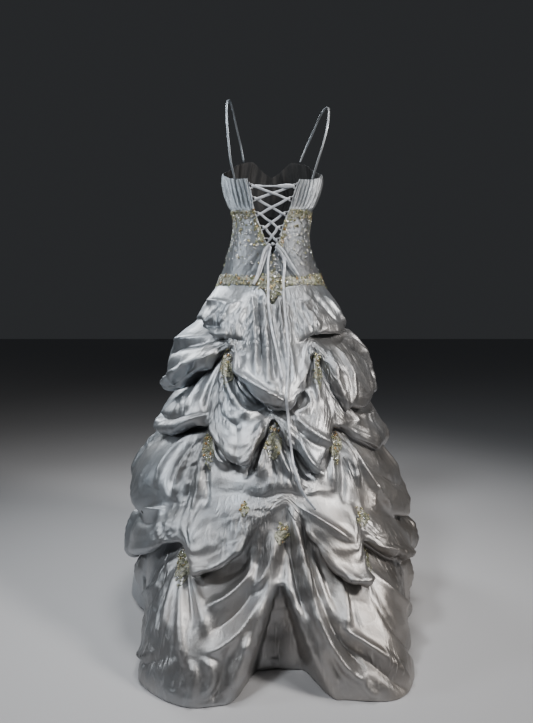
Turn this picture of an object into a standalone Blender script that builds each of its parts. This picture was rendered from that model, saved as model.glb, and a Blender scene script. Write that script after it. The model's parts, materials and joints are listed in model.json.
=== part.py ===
"""Ball gown: a laced strapped bodice over a floor-length skirt picked up into puffs.

Metres, +Z up. The laced back faces -Y and +X is the wearer's right. The origin lies between
the strap tops, on the gown's middle plane. Heights in the tables are above the hem.
"""

import math

import bpy
import numpy as np
from mathutils import Matrix, Vector

SHOULDER_HEIGHT = 1.490
CLOTH = 0.0012
GAP = 0.0003
TRIM = 0.0016
LEAST_LEAN = 0.6
EASE_ROUNDS = 12
EASE_LEAN = 0.55
EASE_SHARE = 0.7
RIBBON_WIDTH = 0.0075
RIBBON_THICKNESS = 0.0008
CORD_DIAMETER = 0.0020

# Materials: base colour, roughness, metallic.
MATERIALS = {
    "taffeta": ((0.62, 0.65, 0.68), 0.32, 0.75),
    "bead_lace": ((0.46, 0.43, 0.27), 0.50, 0.55),
    "satin_ribbon": ((0.66, 0.68, 0.71), 0.35, 0.30),
    "corded_loop": ((0.70, 0.71, 0.72), 0.55, 0.10),
}

# Bodice sections: half-widths to the viewer's left and right of the laced back, depths behind
# and before the middle plane.
BODICE_COLUMNS = ("height", "left", "right", "back", "front")
BODICE_ROWS = (
    (0.880, 0.190, 0.182, 0.150, 0.140),
    (0.945, 0.166, 0.158, 0.130, 0.122),
    (0.980, 0.153, 0.144, 0.118, 0.115),
    (1.010, 0.141, 0.128, 0.107, 0.109),
    (1.040, 0.133, 0.118, 0.097, 0.104),
    (1.070, 0.124, 0.111, 0.090, 0.101),
    (1.100, 0.117, 0.110, 0.087, 0.101),
    (1.137, 0.115, 0.114, 0.088, 0.106),
    (1.166, 0.121, 0.118, 0.090, 0.114),
    (1.190, 0.131, 0.129, 0.092, 0.130),
    (1.225, 0.142, 0.141, 0.094, 0.142),
    (1.260, 0.148, 0.148, 0.095, 0.143),
    (1.300, 0.146, 0.146, 0.094, 0.134),
    (1.345, 0.138, 0.138, 0.090, 0.120),
)
UNDERBUST_HEIGHT = 1.166
BAND_FOOT_HEIGHT = 1.140

# The laced opening: the edges' distance from the middle plane.
OPENING_COLUMNS = ("height", "left", "right")
OPENING_ROWS = (
    (1.036, 0.0010, 0.0010),
    (1.064, 0.0150, 0.0163),
    (1.102, 0.0297, 0.0251),
    (1.137, 0.0425, 0.0364),
    (1.166, 0.0523, 0.0492),
    (1.211, 0.0600, 0.0616),
    (1.250, 0.0723, 0.0780),
)

# Edges all round, at degrees from the centre back towards the viewer's right.
BODICE_EDGE_COLUMNS = ("angle", "top", "foot", "band_top")
BODICE_EDGE_ROWS = (
    (-180, 1.292, 0.918, 0.958),
    (-170, 1.306, 0.928, 0.964),
    (-150, 1.336, 0.943, 0.976),
    (-132, 1.326, 0.946, 0.980),
    (-110, 1.296, 0.947, 0.982),
    (-90, 1.280, 0.947, 0.982),
    (-62, 1.254, 0.947, 0.980),
    (-40, 1.250, 0.947, 0.974),
    (-20, 1.250, 0.943, 0.972),
    (-12, 1.250, 0.933, 0.976),
    (-6, 1.250, 0.913, 0.984),
    (0, 1.250, 0.892, 0.990),
    (6, 1.250, 0.913, 0.984),
    (12, 1.250, 0.933, 0.976),
    (20, 1.250, 0.943, 0.972),
    (40, 1.248, 0.947, 0.974),
    (62, 1.252, 0.947, 0.980),
    (90, 1.276, 0.947, 0.982),
    (110, 1.292, 0.947, 0.982),
    (132, 1.324, 0.946, 0.980),
    (150, 1.334, 0.943, 0.976),
    (170, 1.306, 0.928, 0.964),
    (180, 1.292, 0.918, 0.958),
)

# Skirt sections without their puffs. Squareness is the power of the oval.
SKIRT_COLUMNS = ("height", "left", "right", "back", "front", "squareness")
SKIRT_ROWS = (
    (0.000, 0.428, 0.428, 0.560, 0.420, 2.8),
    (0.100, 0.392, 0.396, 0.530, 0.400, 2.6),
    (0.200, 0.388, 0.388, 0.495, 0.375, 2.5),
    (0.300, 0.386, 0.376, 0.455, 0.350, 2.3),
    (0.400, 0.374, 0.346, 0.412, 0.320, 2.2),
    (0.500, 0.340, 0.314, 0.368, 0.290, 2.1),
    (0.600, 0.294, 0.278, 0.322, 0.260, 2.0),
    (0.700, 0.262, 0.250, 0.270, 0.225, 2.0),
    (0.800, 0.262, 0.224, 0.222, 0.188, 2.0),
    (0.880, 0.194, 0.184, 0.168, 0.150, 2.0),
    (0.947, 0.166, 0.158, 0.130, 0.122, 2.0),
    (0.990, 0.150, 0.141, 0.115, 0.112, 2.0),
)

# The hem's distance from the middle, at degrees from the centre back.
HEM_COLUMNS = ("angle", "reach", "height")
HEM_ROWS = (
    (-180, 0.420, 0.006),
    (-160, 0.440, 0.000),
    (-140, 0.425, 0.004),
    (-118, 0.455, 0.000),
    (-102, 0.425, 0.006),
    (-90, 0.438, 0.002),
    (-75, 0.414, 0.006),
    (-60, 0.392, 0.008),
    (-47, 0.445, 0.002),
    (-38, 0.535, 0.000),
    (-31, 0.602, 0.000),
    (-18.3, 0.632, 0.000),
    (-9.7, 0.600, 0.000),
    (1.0, 0.575, 0.002),
    (13.7, 0.590, 0.000),
    (26.5, 0.637, 0.000),
    (35.2, 0.588, 0.000),
    (48.0, 0.462, 0.002),
    (60, 0.410, 0.008),
    (75, 0.420, 0.004),
    (90, 0.432, 0.004),
    (104, 0.450, 0.000),
    (122, 0.425, 0.006),
    (140, 0.445, 0.000),
    (160, 0.425, 0.006),
    (180, 0.420, 0.006),
)
HEM_BLEND_HEIGHT = 0.27

# The deep pleat that opens downwards at the centre back.
RECESS_APEX_HEIGHT = 0.235
RECESS_ANGLE = 2.0
RECESS_HALF_ANGLE = 9.5
RECESS_DEPTH = 0.125
RECESS_RUN = 0.11

# The pick-up lines, where a puff's lower edge is gathered up and tucked under. Puff is how far
# the cloth above stands out, tuck how far it goes back in under the edge.
SWAG_COLUMNS = ("angle", "height", "puff", "tuck")
SWAGS = (
    (
        (-180, 0.800, 0.028, 0.026),
        (-150, 0.830, 0.026, 0.022),
        (-118, 0.812, 0.028, 0.026),
        (-95, 0.848, 0.018, 0.012),
        (-70, 0.852, 0.022, 0.014),
        (-50, 0.830, 0.034, 0.030),
        (-36, 0.806, 0.034, 0.032),
        (-27, 0.800, 0.026, 0.030),
        (-21, 0.795, 0.012, 0.014),
        (-14, 0.790, 0.006, 0.002),
        (0, 0.780, 0.006, 0.001),
        (14, 0.790, 0.006, 0.002),
        (20, 0.792, 0.014, 0.014),
        (28, 0.806, 0.024, 0.028),
        (38, 0.812, 0.028, 0.030),
        (54, 0.812, 0.026, 0.024),
        (75, 0.828, 0.020, 0.008),
        (95, 0.836, 0.022, 0.010),
        (118, 0.812, 0.028, 0.026),
        (150, 0.830, 0.026, 0.022),
        (180, 0.800, 0.028, 0.026),
    ),
    (
        (-180, 0.770, 0.006, 0.016),
        (-150, 0.655, 0.046, 0.032),
        (-118, 0.785, 0.008, 0.018),
        (-98, 0.690, 0.044, 0.030),
        (-82, 0.636, 0.054, 0.034),
        (-64, 0.650, 0.054, 0.034),
        (-46, 0.705, 0.044, 0.030),
        (-33, 0.768, 0.020, 0.022),
        (-27, 0.782, 0.006, 0.014),
        (-19, 0.722, 0.018, 0.006),
        (-12, 0.668, 0.032, 0.020),
        (-5, 0.630, 0.042, 0.032),
        (2, 0.616, 0.046, 0.034),
        (8, 0.626, 0.042, 0.034),
        (14, 0.668, 0.026, 0.018),
        (20, 0.722, 0.014, 0.004),
        (28, 0.780, 0.004, 0.006),
        (33, 0.700, 0.020, 0.002),
        (39, 0.618, 0.030, 0.018),
        (52, 0.606, 0.044, 0.034),
        (70, 0.628, 0.048, 0.034),
        (86, 0.645, 0.050, 0.032),
        (100, 0.690, 0.044, 0.030),
        (118, 0.785, 0.008, 0.018),
        (150, 0.655, 0.046, 0.032),
        (180, 0.770, 0.006, 0.016),
    ),
    (
        (-180, 0.470, 0.046, 0.032),
        (-150, 0.600, 0.020, 0.022),
        (-122, 0.470, 0.046, 0.032),
        (-100, 0.520, 0.034, 0.016),
        (-84, 0.530, 0.028, 0.008),
        (-60, 0.548, 0.030, 0.022),
        (-42, 0.566, 0.030, 0.030),
        (-29, 0.574, 0.018, 0.028),
        (-22, 0.530, 0.030, 0.022),
        (-13, 0.486, 0.044, 0.034),
        (-6, 0.530, 0.030, 0.026),
        (0, 0.600, 0.010, 0.024),
        (6, 0.550, 0.020, 0.020),
        (14, 0.470, 0.034, 0.030),
        (20, 0.510, 0.036, 0.034),
        (29.5, 0.574, 0.018, 0.026),
        (42, 0.545, 0.026, 0.012),
        (62, 0.490, 0.034, 0.006),
        (84, 0.480, 0.034, 0.008),
        (100, 0.510, 0.034, 0.022),
        (122, 0.470, 0.046, 0.032),
        (150, 0.600, 0.020, 0.022),
        (180, 0.470, 0.046, 0.032),
    ),
    (
        (-180, 0.440, 0.010, 0.020),
        (-150, 0.300, 0.046, 0.032),
        (-122, 0.430, 0.010, 0.020),
        (-100, 0.340, 0.040, 0.030),
        (-82, 0.322, 0.040, 0.034),
        (-64, 0.318, 0.038, 0.022),
        (-48, 0.350, 0.020, 0.004),
        (-30, 0.400, 0.012, 0.000),
        (-12, 0.425, 0.010, 0.001),
        (-4, 0.418, 0.012, 0.014),
        (4.2, 0.428, 0.012, 0.020),
        (11, 0.420, 0.012, 0.006),
        (26, 0.400, 0.012, 0.001),
        (46, 0.340, 0.020, 0.006),
        (64, 0.296, 0.036, 0.024),
        (80, 0.288, 0.040, 0.034),
        (98, 0.340, 0.036, 0.030),
        (122, 0.430, 0.010, 0.020),
        (150, 0.300, 0.046, 0.032),
        (180, 0.440, 0.010, 0.020),
    ),
    (
        (-180, 0.150, 0.044, 0.028),
        (-150, 0.262, 0.010, 0.018),
        (-122, 0.150, 0.044, 0.028),
        (-98, 0.165, 0.034, 0.026),
        (-84, 0.160, 0.026, 0.028),
        (-62, 0.212, 0.030, 0.028),
        (-44, 0.262, 0.034, 0.028),
        (-30, 0.302, 0.020, 0.026),
        (-21, 0.252, 0.038, 0.032),
        (-12, 0.290, 0.030, 0.018),
        (-4, 0.365, 0.010, 0.008),
        (4.2, 0.402, 0.002, 0.010),
        (11, 0.330, 0.012, 0.004),
        (18, 0.262, 0.026, 0.020),
        (25, 0.220, 0.036, 0.032),
        (29.5, 0.302, 0.016, 0.024),
        (40, 0.250, 0.030, 0.016),
        (62, 0.190, 0.030, 0.012),
        (84, 0.175, 0.024, 0.022),
        (104, 0.175, 0.034, 0.026),
        (122, 0.150, 0.044, 0.028),
        (150, 0.262, 0.010, 0.018),
        (180, 0.150, 0.044, 0.028),
    ),
)
FULL_PUFF_HEIGHT = 0.10
FULL_TUCK_HEIGHT = 0.10
LEAST_TUCK = 0.18
LEAST_TIER = 0.018

# A puff's section from one pick-up line to the next: fall is down it, out its swelling, tuck
# what is left of the fold under the line above.
PUFF_COLUMNS = ("along", "fall", "out", "soft_out", "tuck")
PUFF_ROWS = (
    (0.00, 0.00, 0.00, 0.00, 1.00),
    (0.10, 0.08, 0.12, 0.20, 0.80),
    (0.24, 0.22, 0.42, 0.50, 0.40),
    (0.42, 0.42, 0.76, 0.85, 0.10),
    (0.60, 0.63, 0.98, 1.00, 0.00),
    (0.76, 0.82, 1.00, 0.80, 0.00),
    (0.89, 0.95, 0.86, 0.42, 0.00),
    (1.00, 1.00, 0.52, 0.06, 0.00),
)
CRISP_TUCK = 0.026
TUCK_LIFT = 0.55
TIER_STEPS = (
    (0.00, 0.25, 0.52, 0.78, 1.00),
    (0.00, 0.18, 0.38, 0.60, 0.82, 1.00),
    (0.00, 0.18, 0.38, 0.60, 0.82, 1.00),
    (0.00, 0.22, 0.50, 0.80, 1.00),
    (0.00, 0.22, 0.50, 0.80, 1.00),
)
HEM_STEPS = (0.00, 0.14, 0.32, 0.54, 0.78, 1.00)
# The tiers above each seam of a skirt panel's three lengths, and how far each edge stops short.
LENGTH_TIERS = (2, 4)
LENGTH_GAP = 0.0005

# Long folds: angle and height of one end, angle and height of the other, width, and rise,
# which is below nothing where the fold goes in.
FOLD_ROWS = (
    (-16.4, 0.90, -7.5, 0.69, 0.015, 0.013),
    (-4.0, 0.90, -1.5, 0.67, 0.014, 0.010),
    (-11.5, 0.88, -4.5, 0.70, 0.013, -0.011),
    (4.5, 0.90, 4.0, 0.68, 0.013, -0.010),
    (11.0, 0.88, 9.0, 0.72, 0.015, 0.008),
    (-60.0, 0.92, -44.0, 0.84, 0.016, 0.014),
    (-50.0, 0.94, -34.0, 0.88, 0.014, -0.012),
    (-30.0, 0.92, -40.0, 0.83, 0.015, 0.010),
    (52.0, 0.92, 40.0, 0.83, 0.018, 0.010),
    (36.0, 0.93, 44.0, 0.85, 0.016, -0.008),
    (-26.0, 0.795, -8.0, 0.665, 0.014, 0.016),
    (-25.0, 0.75, -9.0, 0.640, 0.011, -0.012),
    (-23.0, 0.72, -12.0, 0.655, 0.012, 0.010),
    (25.5, 0.795, 9.5, 0.670, 0.015, 0.014),
    (24.0, 0.77, 13.0, 0.680, 0.012, -0.013),
    (-30.0, 0.76, -62.0, 0.675, 0.016, -0.010),
    (-32.0, 0.78, -56.0, 0.74, 0.016, 0.014),
    (-60.0, 0.80, -74.0, 0.70, 0.018, -0.012),
    (36.0, 0.78, 60.0, 0.70, 0.018, 0.014),
    (34.0, 0.76, 48.0, 0.66, 0.015, -0.012),
    (62.0, 0.79, 70.0, 0.66, 0.016, -0.012),
    (-27.0, 0.76, -33.0, 0.60, 0.017, 0.016),
    (-32.0, 0.72, -50.0, 0.62, 0.016, -0.012),
    (-24.5, 0.74, -23.0, 0.58, 0.013, -0.014),
    (-21.5, 0.70, -14.0, 0.52, 0.016, 0.014),
    (-17.0, 0.64, -6.0, 0.57, 0.014, -0.010),
    (29.0, 0.76, 21.0, 0.55, 0.016, 0.014),
    (25.0, 0.72, 15.0, 0.56, 0.013, -0.013),
    (30.5, 0.75, 30.0, 0.62, 0.012, -0.012),
    (33.0, 0.76, 36.0, 0.64, 0.015, 0.014),
    (9.0, 0.59, 14.0, 0.50, 0.014, 0.012),
    (0.0, 0.58, -7.0, 0.44, 0.018, 0.012),
    (2.0, 0.57, 8.0, 0.44, 0.015, 0.012),
    (5.0, 0.53, 11.0, 0.42, 0.012, -0.010),
    (-28.0, 0.55, -24.0, 0.36, 0.017, 0.016),
    (-31.0, 0.55, -38.0, 0.34, 0.020, 0.016),
    (-26.0, 0.50, -17.0, 0.36, 0.014, -0.014),
    (-34.0, 0.54, -50.0, 0.38, 0.018, -0.014),
    (-16.0, 0.44, -14.0, 0.33, 0.020, 0.012),
    (29.0, 0.54, 25.0, 0.36, 0.016, 0.014),
    (32.0, 0.54, 38.0, 0.36, 0.018, 0.018),
    (35.0, 0.52, 52.0, 0.34, 0.020, -0.014),
    (24.0, 0.50, 17.0, 0.38, 0.014, -0.012),
    (50.0, 0.52, 68.0, 0.36, 0.022, 0.014),
    (-60.0, 0.50, -70.0, 0.36, 0.022, 0.014),
    (-32.0, 0.27, -60.0, 0.235, 0.016, 0.010),
    (3.0, 0.40, -3.5, 0.24, 0.015, 0.018),
    (-3.5, 0.24, -8.0, 0.04, 0.020, 0.020),
    (-4.0, 0.36, -14.0, 0.13, 0.016, -0.014),
    (5.0, 0.40, 8.0, 0.26, 0.013, 0.022),
    (8.0, 0.26, 12.5, 0.12, 0.016, 0.026),
    (12.5, 0.12, 17.5, 0.02, 0.020, 0.020),
    (9.0, 0.34, 18.0, 0.12, 0.016, -0.018),
    (18.0, 0.12, 26.0, 0.02, 0.018, -0.014),
    (-30.0, 0.27, -27.5, 0.04, 0.020, 0.018),
    (-31.5, 0.27, -38.0, 0.06, 0.018, -0.016),
    (-28.5, 0.27, -22.0, 0.08, 0.018, -0.016),
    (-18.0, 0.22, -16.0, 0.03, 0.024, 0.012),
    (29.5, 0.27, 25.0, 0.03, 0.020, -0.014),
    (30.5, 0.27, 34.0, 0.03, 0.020, 0.018),
    (33.0, 0.27, 46.0, 0.05, 0.022, -0.014),
    (-82.0, 0.30, -74.0, 0.08, 0.028, 0.016),
    (-74.0, 0.30, -58.0, 0.06, 0.026, -0.014),
    (82.0, 0.27, 74.0, 0.06, 0.028, 0.016),
    (74.0, 0.27, 58.0, 0.05, 0.026, -0.012),
    (119.0, 0.78, 130.0, 0.66, 0.020, 0.012),
    (117.0, 0.78, 104.0, 0.68, 0.020, 0.012),
    (-119.0, 0.78, -130.0, 0.66, 0.020, 0.012),
    (-117.0, 0.78, -104.0, 0.68, 0.020, 0.012),
    (178.0, 0.78, 164.0, 0.66, 0.020, 0.012),
    (-178.0, 0.78, -164.0, 0.66, 0.020, 0.012),
    (150.0, 0.60, 138.0, 0.48, 0.022, 0.014),
    (150.0, 0.60, 162.0, 0.48, 0.022, 0.014),
    (-150.0, 0.60, -138.0, 0.48, 0.022, 0.014),
    (-150.0, 0.60, -162.0, 0.48, 0.022, 0.014),
    (122.0, 0.42, 118.0, 0.18, 0.026, 0.016),
    (-122.0, 0.42, -118.0, 0.18, 0.026, 0.016),
    (180.0, 0.42, 178.0, 0.18, 0.026, 0.016),
    (150.0, 0.25, 146.0, 0.03, 0.030, 0.016),
    (-150.0, 0.25, -146.0, 0.03, 0.030, 0.016),
    (118.0, 0.16, 120.0, 0.02, 0.030, 0.014),
    (-118.0, 0.16, -120.0, 0.02, 0.030, 0.014),
)

# The parts of the bodice panels' height and width where their grid lines lie.
TORSO_STEPS = (0.0, 0.25, 0.50, 0.68, 1.0)
BACK_STEPS = (0.0, 0.15, 0.30, 0.45, 0.58, 0.70, 0.80, 0.87, 0.935, 1.0)
EDGE_LACE_STEP = 7
EDGE_LACE_ROWS = (1, 4)

# The gathered bust: pleats standing out of a plain inside.
BACK_PLEATS = 8
FRONT_PLEATS = 12
STEPS_PER_PLEAT = 4
PLEAT_RISE = 0.0030
BUST_STEPS = (0.0, 0.14, 0.50, 0.86, 1.0)
PLEAT_SHARES = (0.40, 0.95, 1.0, 0.85, 0.45)
BUST_OFFSET = 0.0006

# Shoulder straps, from the back edge over the shoulder to the front edge: across, forward and
# height of each point.
STRAP_WIDTH = 0.0060
STRAP_THICKNESS = 0.0024
STRAP_SAMPLES = 22
STRAP_CENTRE_HEIGHT = 1.36
STRAP_SIDE_LEAN = 0.2
STRAP_LEFT = (
    (-0.1080, -0.0700, 1.2515),
    (-0.1170, -0.0820, 1.2900),
    (-0.1240, -0.0880, 1.3500),
    (-0.1290, -0.0830, 1.4150),
    (-0.1300, -0.0620, 1.4600),
    (-0.1280, -0.0300, 1.4830),
    (-0.1240, 0.0050, 1.4890),
    (-0.1180, 0.0400, 1.4740),
    (-0.1080, 0.0780, 1.4300),
    (-0.0960, 0.1040, 1.3800),
    (-0.0880, 0.1128, 1.3375),
)
STRAP_RIGHT = (
    (0.1145, -0.0690, 1.2495),
    (0.1270, -0.0800, 1.2900),
    (0.1440, -0.0860, 1.3450),
    (0.1570, -0.0820, 1.4000),
    (0.1620, -0.0620, 1.4400),
    (0.1620, -0.0300, 1.4620),
    (0.1570, 0.0050, 1.4690),
    (0.1450, 0.0400, 1.4570),
    (0.1250, 0.0780, 1.4160),
    (0.1040, 0.1040, 1.3720),
    (0.0880, 0.1130, 1.3360),
)

# Lacing: loops of cord on the opening's edges and the ribbon through them.
LOOP_HEIGHTS = (1.229, 1.193, 1.151, 1.112, 1.076)
LOOP_REACH = 0.0085
LOOP_HALF_HEIGHT = 0.0056
LOOP_END_HALF_HEIGHT = 0.0052
LOOP_CLEARANCE = 0.0035
CORD_PAST = 0.011
LOOP_STAND = 0.0027
CROSSING_LIFT = 0.0013
WRAP_LIFT = 0.0019
WRAP_PAST = 0.0032
WRAP_RUN = 0.006
WRAP_SHARE = 0.3
CROSSING_SHARES = (0.28, 0.5, 0.72)
TOP_SPAN_LIFTS = (0.0016, 0.0, -0.0016)
KNOT_HEIGHT = 1.0640
KNOT_SIZE = (0.0105, 0.0120, 0.0085)
KNOT_FORWARD = 0.0085

# Ribbon paths: across, height, and how far they hang off the cloth.
BOW_LEFT = (
    (-0.0068, 1.0640, 0.0135),
    (-0.0200, 1.0480, 0.0150),
    (-0.0340, 1.0050, 0.0145),
    (-0.0480, 0.9600, 0.0135),
    (-0.0530, 0.9480, 0.0095),
    (-0.0490, 0.9560, 0.0050),
    (-0.0400, 0.9720, 0.0045),
    (-0.0230, 1.0200, 0.0045),
    (-0.0066, 1.0590, 0.0040),
)
BOW_RIGHT = (
    (0.0100, 1.0640, 0.0145),
    (0.0260, 1.0500, 0.0175),
    (0.0480, 1.0150, 0.0155),
    (0.0680, 0.9820, 0.0135),
    (0.0745, 0.9725, 0.0095),
    (0.0705, 0.9780, 0.0045),
    (0.0540, 1.0000, 0.0045),
    (0.0300, 1.0300, 0.0045),
    (0.0105, 1.0590, 0.0040),
)
TAIL_LEFT = (
    (-0.0050, 1.0555, 0.009),
    (-0.0110, 1.0300, 0.009),
    (-0.0115, 0.9600, 0.009),
    (-0.0105, 0.8800, 0.008),
    (-0.0030, 0.8300, 0.008),
    (0.0075, 0.7850, 0.008),
    (0.0170, 0.7400, 0.008),
    (0.0240, 0.7020, 0.008),
)
TAIL_RIGHT = (
    (0.0090, 1.0555, 0.009),
    (0.0290, 1.0300, 0.009),
    (0.0310, 0.9500, 0.009),
    (0.0330, 0.8900, 0.008),
    (0.0360, 0.8500, 0.008),
    (0.0400, 0.7800, 0.008),
    (0.0370, 0.7100, 0.008),
    (0.0330, 0.6600, 0.008),
    (0.0380, 0.6100, 0.008),
    (0.0440, 0.5450, 0.008),
    (0.0540, 0.4800, 0.008),
    (0.0760, 0.4250, 0.008),
    (0.1030, 0.3950, 0.008),
)
BOW_SAMPLES = 20
BOW_TURN_ROW = 4
TAIL_SAMPLES = 30
HANG_WINDOW = 0.012
HANG_DROP = 0.0156
HANG_ROUNDS = 3
HANG_ANGLE = 45

# Pick-up lace: name, angle from the centre back, the tier it lies on, width and length.
MOTIFS = (
    ("lace_pickup_a", -27.5, 2, 0.042, 0.080),
    ("lace_pickup_b", 28.0, 2, 0.044, 0.080),
    ("lace_pickup_c", 0.5, 3, 0.044, 0.075),
    ("lace_pickup_d", -28.5, 3, 0.042, 0.080),
    ("lace_pickup_e", 29.5, 3, 0.042, 0.070),
    ("lace_pickup_f", 4.2, 5, 0.040, 0.040),
    ("lace_pickup_g", -9.5, 4, 0.026, 0.026),
    ("lace_pickup_h", -30.0, 5, 0.036, 0.060),
    ("lace_pickup_i", 29.5, 5, 0.038, 0.060),
    ("lace_pickup_j", 33.5, 4, 0.036, 0.036),
    ("lace_pickup_k", -118.0, 2, 0.042, 0.080),
    ("lace_pickup_l", 118.0, 2, 0.042, 0.080),
    ("lace_pickup_m", 180.0, 2, 0.042, 0.080),
    ("lace_pickup_n", -150.0, 3, 0.042, 0.080),
    ("lace_pickup_o", 150.0, 3, 0.042, 0.080),
    ("lace_pickup_p", 180.0, 4, 0.042, 0.075),
)
MOTIF_POINTS = 12

# Half of the back's grid lines, in degrees; every torso line is among them.
HALF_BACK_ANGLES = (
    90, 83, 76.5, 70, 63, 56, 49.5, 43.5, 40.5, 37.8, 35, 32.3, 29.6, 27, 24.7, 22.5, 20.2, 18,
    15.9, 13.8, 11.7, 9.7, 7.8, 5.85, 2.9, 0,
)
BACK_ANGLES = tuple(-angle for angle in HALF_BACK_ANGLES) + HALF_BACK_ANGLES[-2::-1]
FRONT_CELLS = 20
FRONT_ANGLES = tuple(90 + 180 * step / FRONT_CELLS for step in range(FRONT_CELLS + 1))


def smooth(xs, ys, x):
    """A curve through the rows that never swings past them."""
    xs = np.asarray(xs, float)
    ys = np.asarray(ys, float)
    steps = np.diff(xs)
    slopes = np.diff(ys) / steps
    tangents = np.zeros(len(xs))
    same = slopes[1:] * slopes[:-1] > 0
    low, high = slopes[:-1][same], slopes[1:][same]
    tangents[1:-1][same] = 2 * low * high / (low + high)
    tangents[0], tangents[-1] = slopes[0], slopes[-1]
    x = np.clip(np.asarray(x, float), xs[0], xs[-1])
    at = np.clip(np.searchsorted(xs, x) - 1, 0, len(steps) - 1)
    t = (x - xs[at]) / steps[at]
    return (
        ys[at] * (1 + 2 * t) * (1 - t) ** 2
        + ys[at + 1] * t * t * (3 - 2 * t)
        + steps[at] * (tangents[at] * t * (1 - t) ** 2 - tangents[at + 1] * t * t * (1 - t))
    )


def read(columns, rows, name, x):
    """The named column at x, where x runs along the first column."""
    place = columns.index(name)
    return smooth([row[0] for row in rows], [row[place] for row in rows], x)


def around(columns, rows, name, angle):
    """The named column at a number of degrees from the centre back, which may pass 180."""
    return read(columns, rows, name, (np.asarray(angle, float) + 180) % 360 - 180)


def oval(angle, left, right, back, front, power):
    """Distance from the middle to an oval with four unlike half-axes."""
    turn = np.radians(angle)
    across, along = np.sin(turn), np.cos(turn)
    side = np.where(across < 0, left, right)
    depth = np.where(along > 0, back, front)
    return (np.abs(across / side) ** power + np.abs(along / depth) ** power) ** (-1 / power)


def skirt_reach(angle, height):
    """Distance from the middle to the skirt without its puffs."""
    sizes = [read(SKIRT_COLUMNS, SKIRT_ROWS, name, height) for name in SKIRT_COLUMNS[1:]]
    plain = oval(angle, *sizes)
    share = np.clip((HEM_BLEND_HEIGHT - height) / HEM_BLEND_HEIGHT, 0, 1) ** 1.1
    reach = plain + share * (around(HEM_COLUMNS, HEM_ROWS, "reach", angle) - plain)
    below = np.clip(RECESS_APEX_HEIGHT - height, 0, RECESS_APEX_HEIGHT)
    half = np.maximum(RECESS_HALF_ANGLE * (0.15 + 0.85 * below / RECESS_APEX_HEIGHT), 0.1)
    inside = np.clip(1.25 - np.abs((np.asarray(angle) - RECESS_ANGLE) / half), 0, 0.5) / 0.5
    depth = RECESS_DEPTH * np.clip(below / RECESS_RUN, 0, 1)
    return reach - depth * inside**2 * (3 - 2 * inside)


def fold_rise(angle, height):
    """How far the long folds stand out here."""
    reach = skirt_reach(angle, height)
    total = np.zeros_like(reach)
    for angle_a, height_a, angle_b, height_b, width, rise in FOLD_ROWS:
        off = (np.asarray(angle, float) - angle_a + 180) % 360 - 180
        across = np.radians(off) * reach
        fall = height_a - height
        run = np.radians((angle_b - angle_a + 180) % 360 - 180) * reach
        drop = height_a - height_b
        length = np.hypot(run, drop)
        along = (across * run + fall * drop) / length**2
        beside = (across * drop - fall * run) / length
        past = (along - np.clip(along, 0, 1)) * length
        ends = np.clip(along * 4 + 0.35, 0, 1) * np.clip((1 - along) * 4 + 0.35, 0, 1)
        total = total + rise * np.exp(-(beside**2 + past**2) / width**2) * ends
    return total


def skirt_point(angle, tier, along):
    """A point of the skirt's outer face: tier counts from the bodice, along runs down it."""
    foot = around(BODICE_EDGE_COLUMNS, BODICE_EDGE_ROWS, "foot", angle)
    lines = [foot] + [around(SWAG_COLUMNS, rows, "height", angle) for rows in SWAGS]
    lines.append(around(HEM_COLUMNS, HEM_ROWS, "height", angle))
    for place in range(1, len(lines) - 1):
        lines[place] = np.minimum(lines[place], lines[place - 1] - LEAST_TIER)
    drop = lines[tier] - lines[tier + 1]
    fullness = np.clip(drop / FULL_PUFF_HEIGHT, 0, 1)
    puff = tuck_above = 0.0
    if tier < len(SWAGS):
        puff = around(SWAG_COLUMNS, SWAGS[tier], "puff", angle) * fullness
        fall = read(PUFF_COLUMNS, PUFF_ROWS, "fall", along)
        crisp = np.clip(around(SWAG_COLUMNS, SWAGS[tier], "tuck", angle) / CRISP_TUCK, 0, 1)
        out = crisp * read(PUFF_COLUMNS, PUFF_ROWS, "out", along)
        out = out + (1 - crisp) * read(PUFF_COLUMNS, PUFF_ROWS, "soft_out", along)
    else:
        fall = along
        out = 0.0
    left = 0.0
    if tier > 0:
        room = np.clip(drop / FULL_TUCK_HEIGHT, LEAST_TUCK, 1)
        tuck_above = around(SWAG_COLUMNS, SWAGS[tier - 1], "tuck", angle) * room
        left = read(PUFF_COLUMNS, PUFF_ROWS, "tuck", along)
    height = lines[tier] - drop * fall + tuck_above * left * TUCK_LIFT
    reach = skirt_reach(angle, height) + puff * out - tuck_above * left
    reach = reach + fold_rise(angle, height) * (1 - left * np.clip(tuck_above / CRISP_TUCK, 0, 1))
    turn = np.radians(angle)
    return np.stack([reach * np.sin(turn), -reach * np.cos(turn), height], axis=-1)


def skirt_ring():
    """The skirt's outer face all round and the directions out of it, first column also last."""
    angles = np.array(BACK_ANGLES + FRONT_ANGLES[1:-1], float)
    rows = []
    for tier, steps in enumerate(TIER_STEPS + (HEM_STEPS,)):
        rows.extend(skirt_point(angles, tier, step) for step in steps)
    ring = np.array(rows)
    for _ in range(EASE_ROUNDS):
        ring[1:-1] += ease(np.concatenate([ring[:, -1:], ring, ring[:, :1]], axis=1))
    wrapped = np.concatenate([ring[:, -1:], ring, ring[:, :2]], axis=1)
    return wrapped[:, 1:-1], outward(wrapped, False)[:, 1:-1]


def face_normals(grid):
    faces = np.cross(grid[1:, :-1] - grid[:-1, 1:], grid[1:, 1:] - grid[:-1, :-1])
    return faces / np.linalg.norm(faces, axis=-1, keepdims=True)


def mean_and_lean(faces):
    """The mean of the four faces at each point where four meet, and how far the furthest leans off it."""
    corners = (faces[:-1, :-1], faces[1:, :-1], faces[:-1, 1:], faces[1:, 1:])
    out = sum(corners)
    out /= np.linalg.norm(out, axis=-1, keepdims=True)
    return out, np.min([(corner * out).sum(axis=-1) for corner in corners], axis=0)


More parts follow.
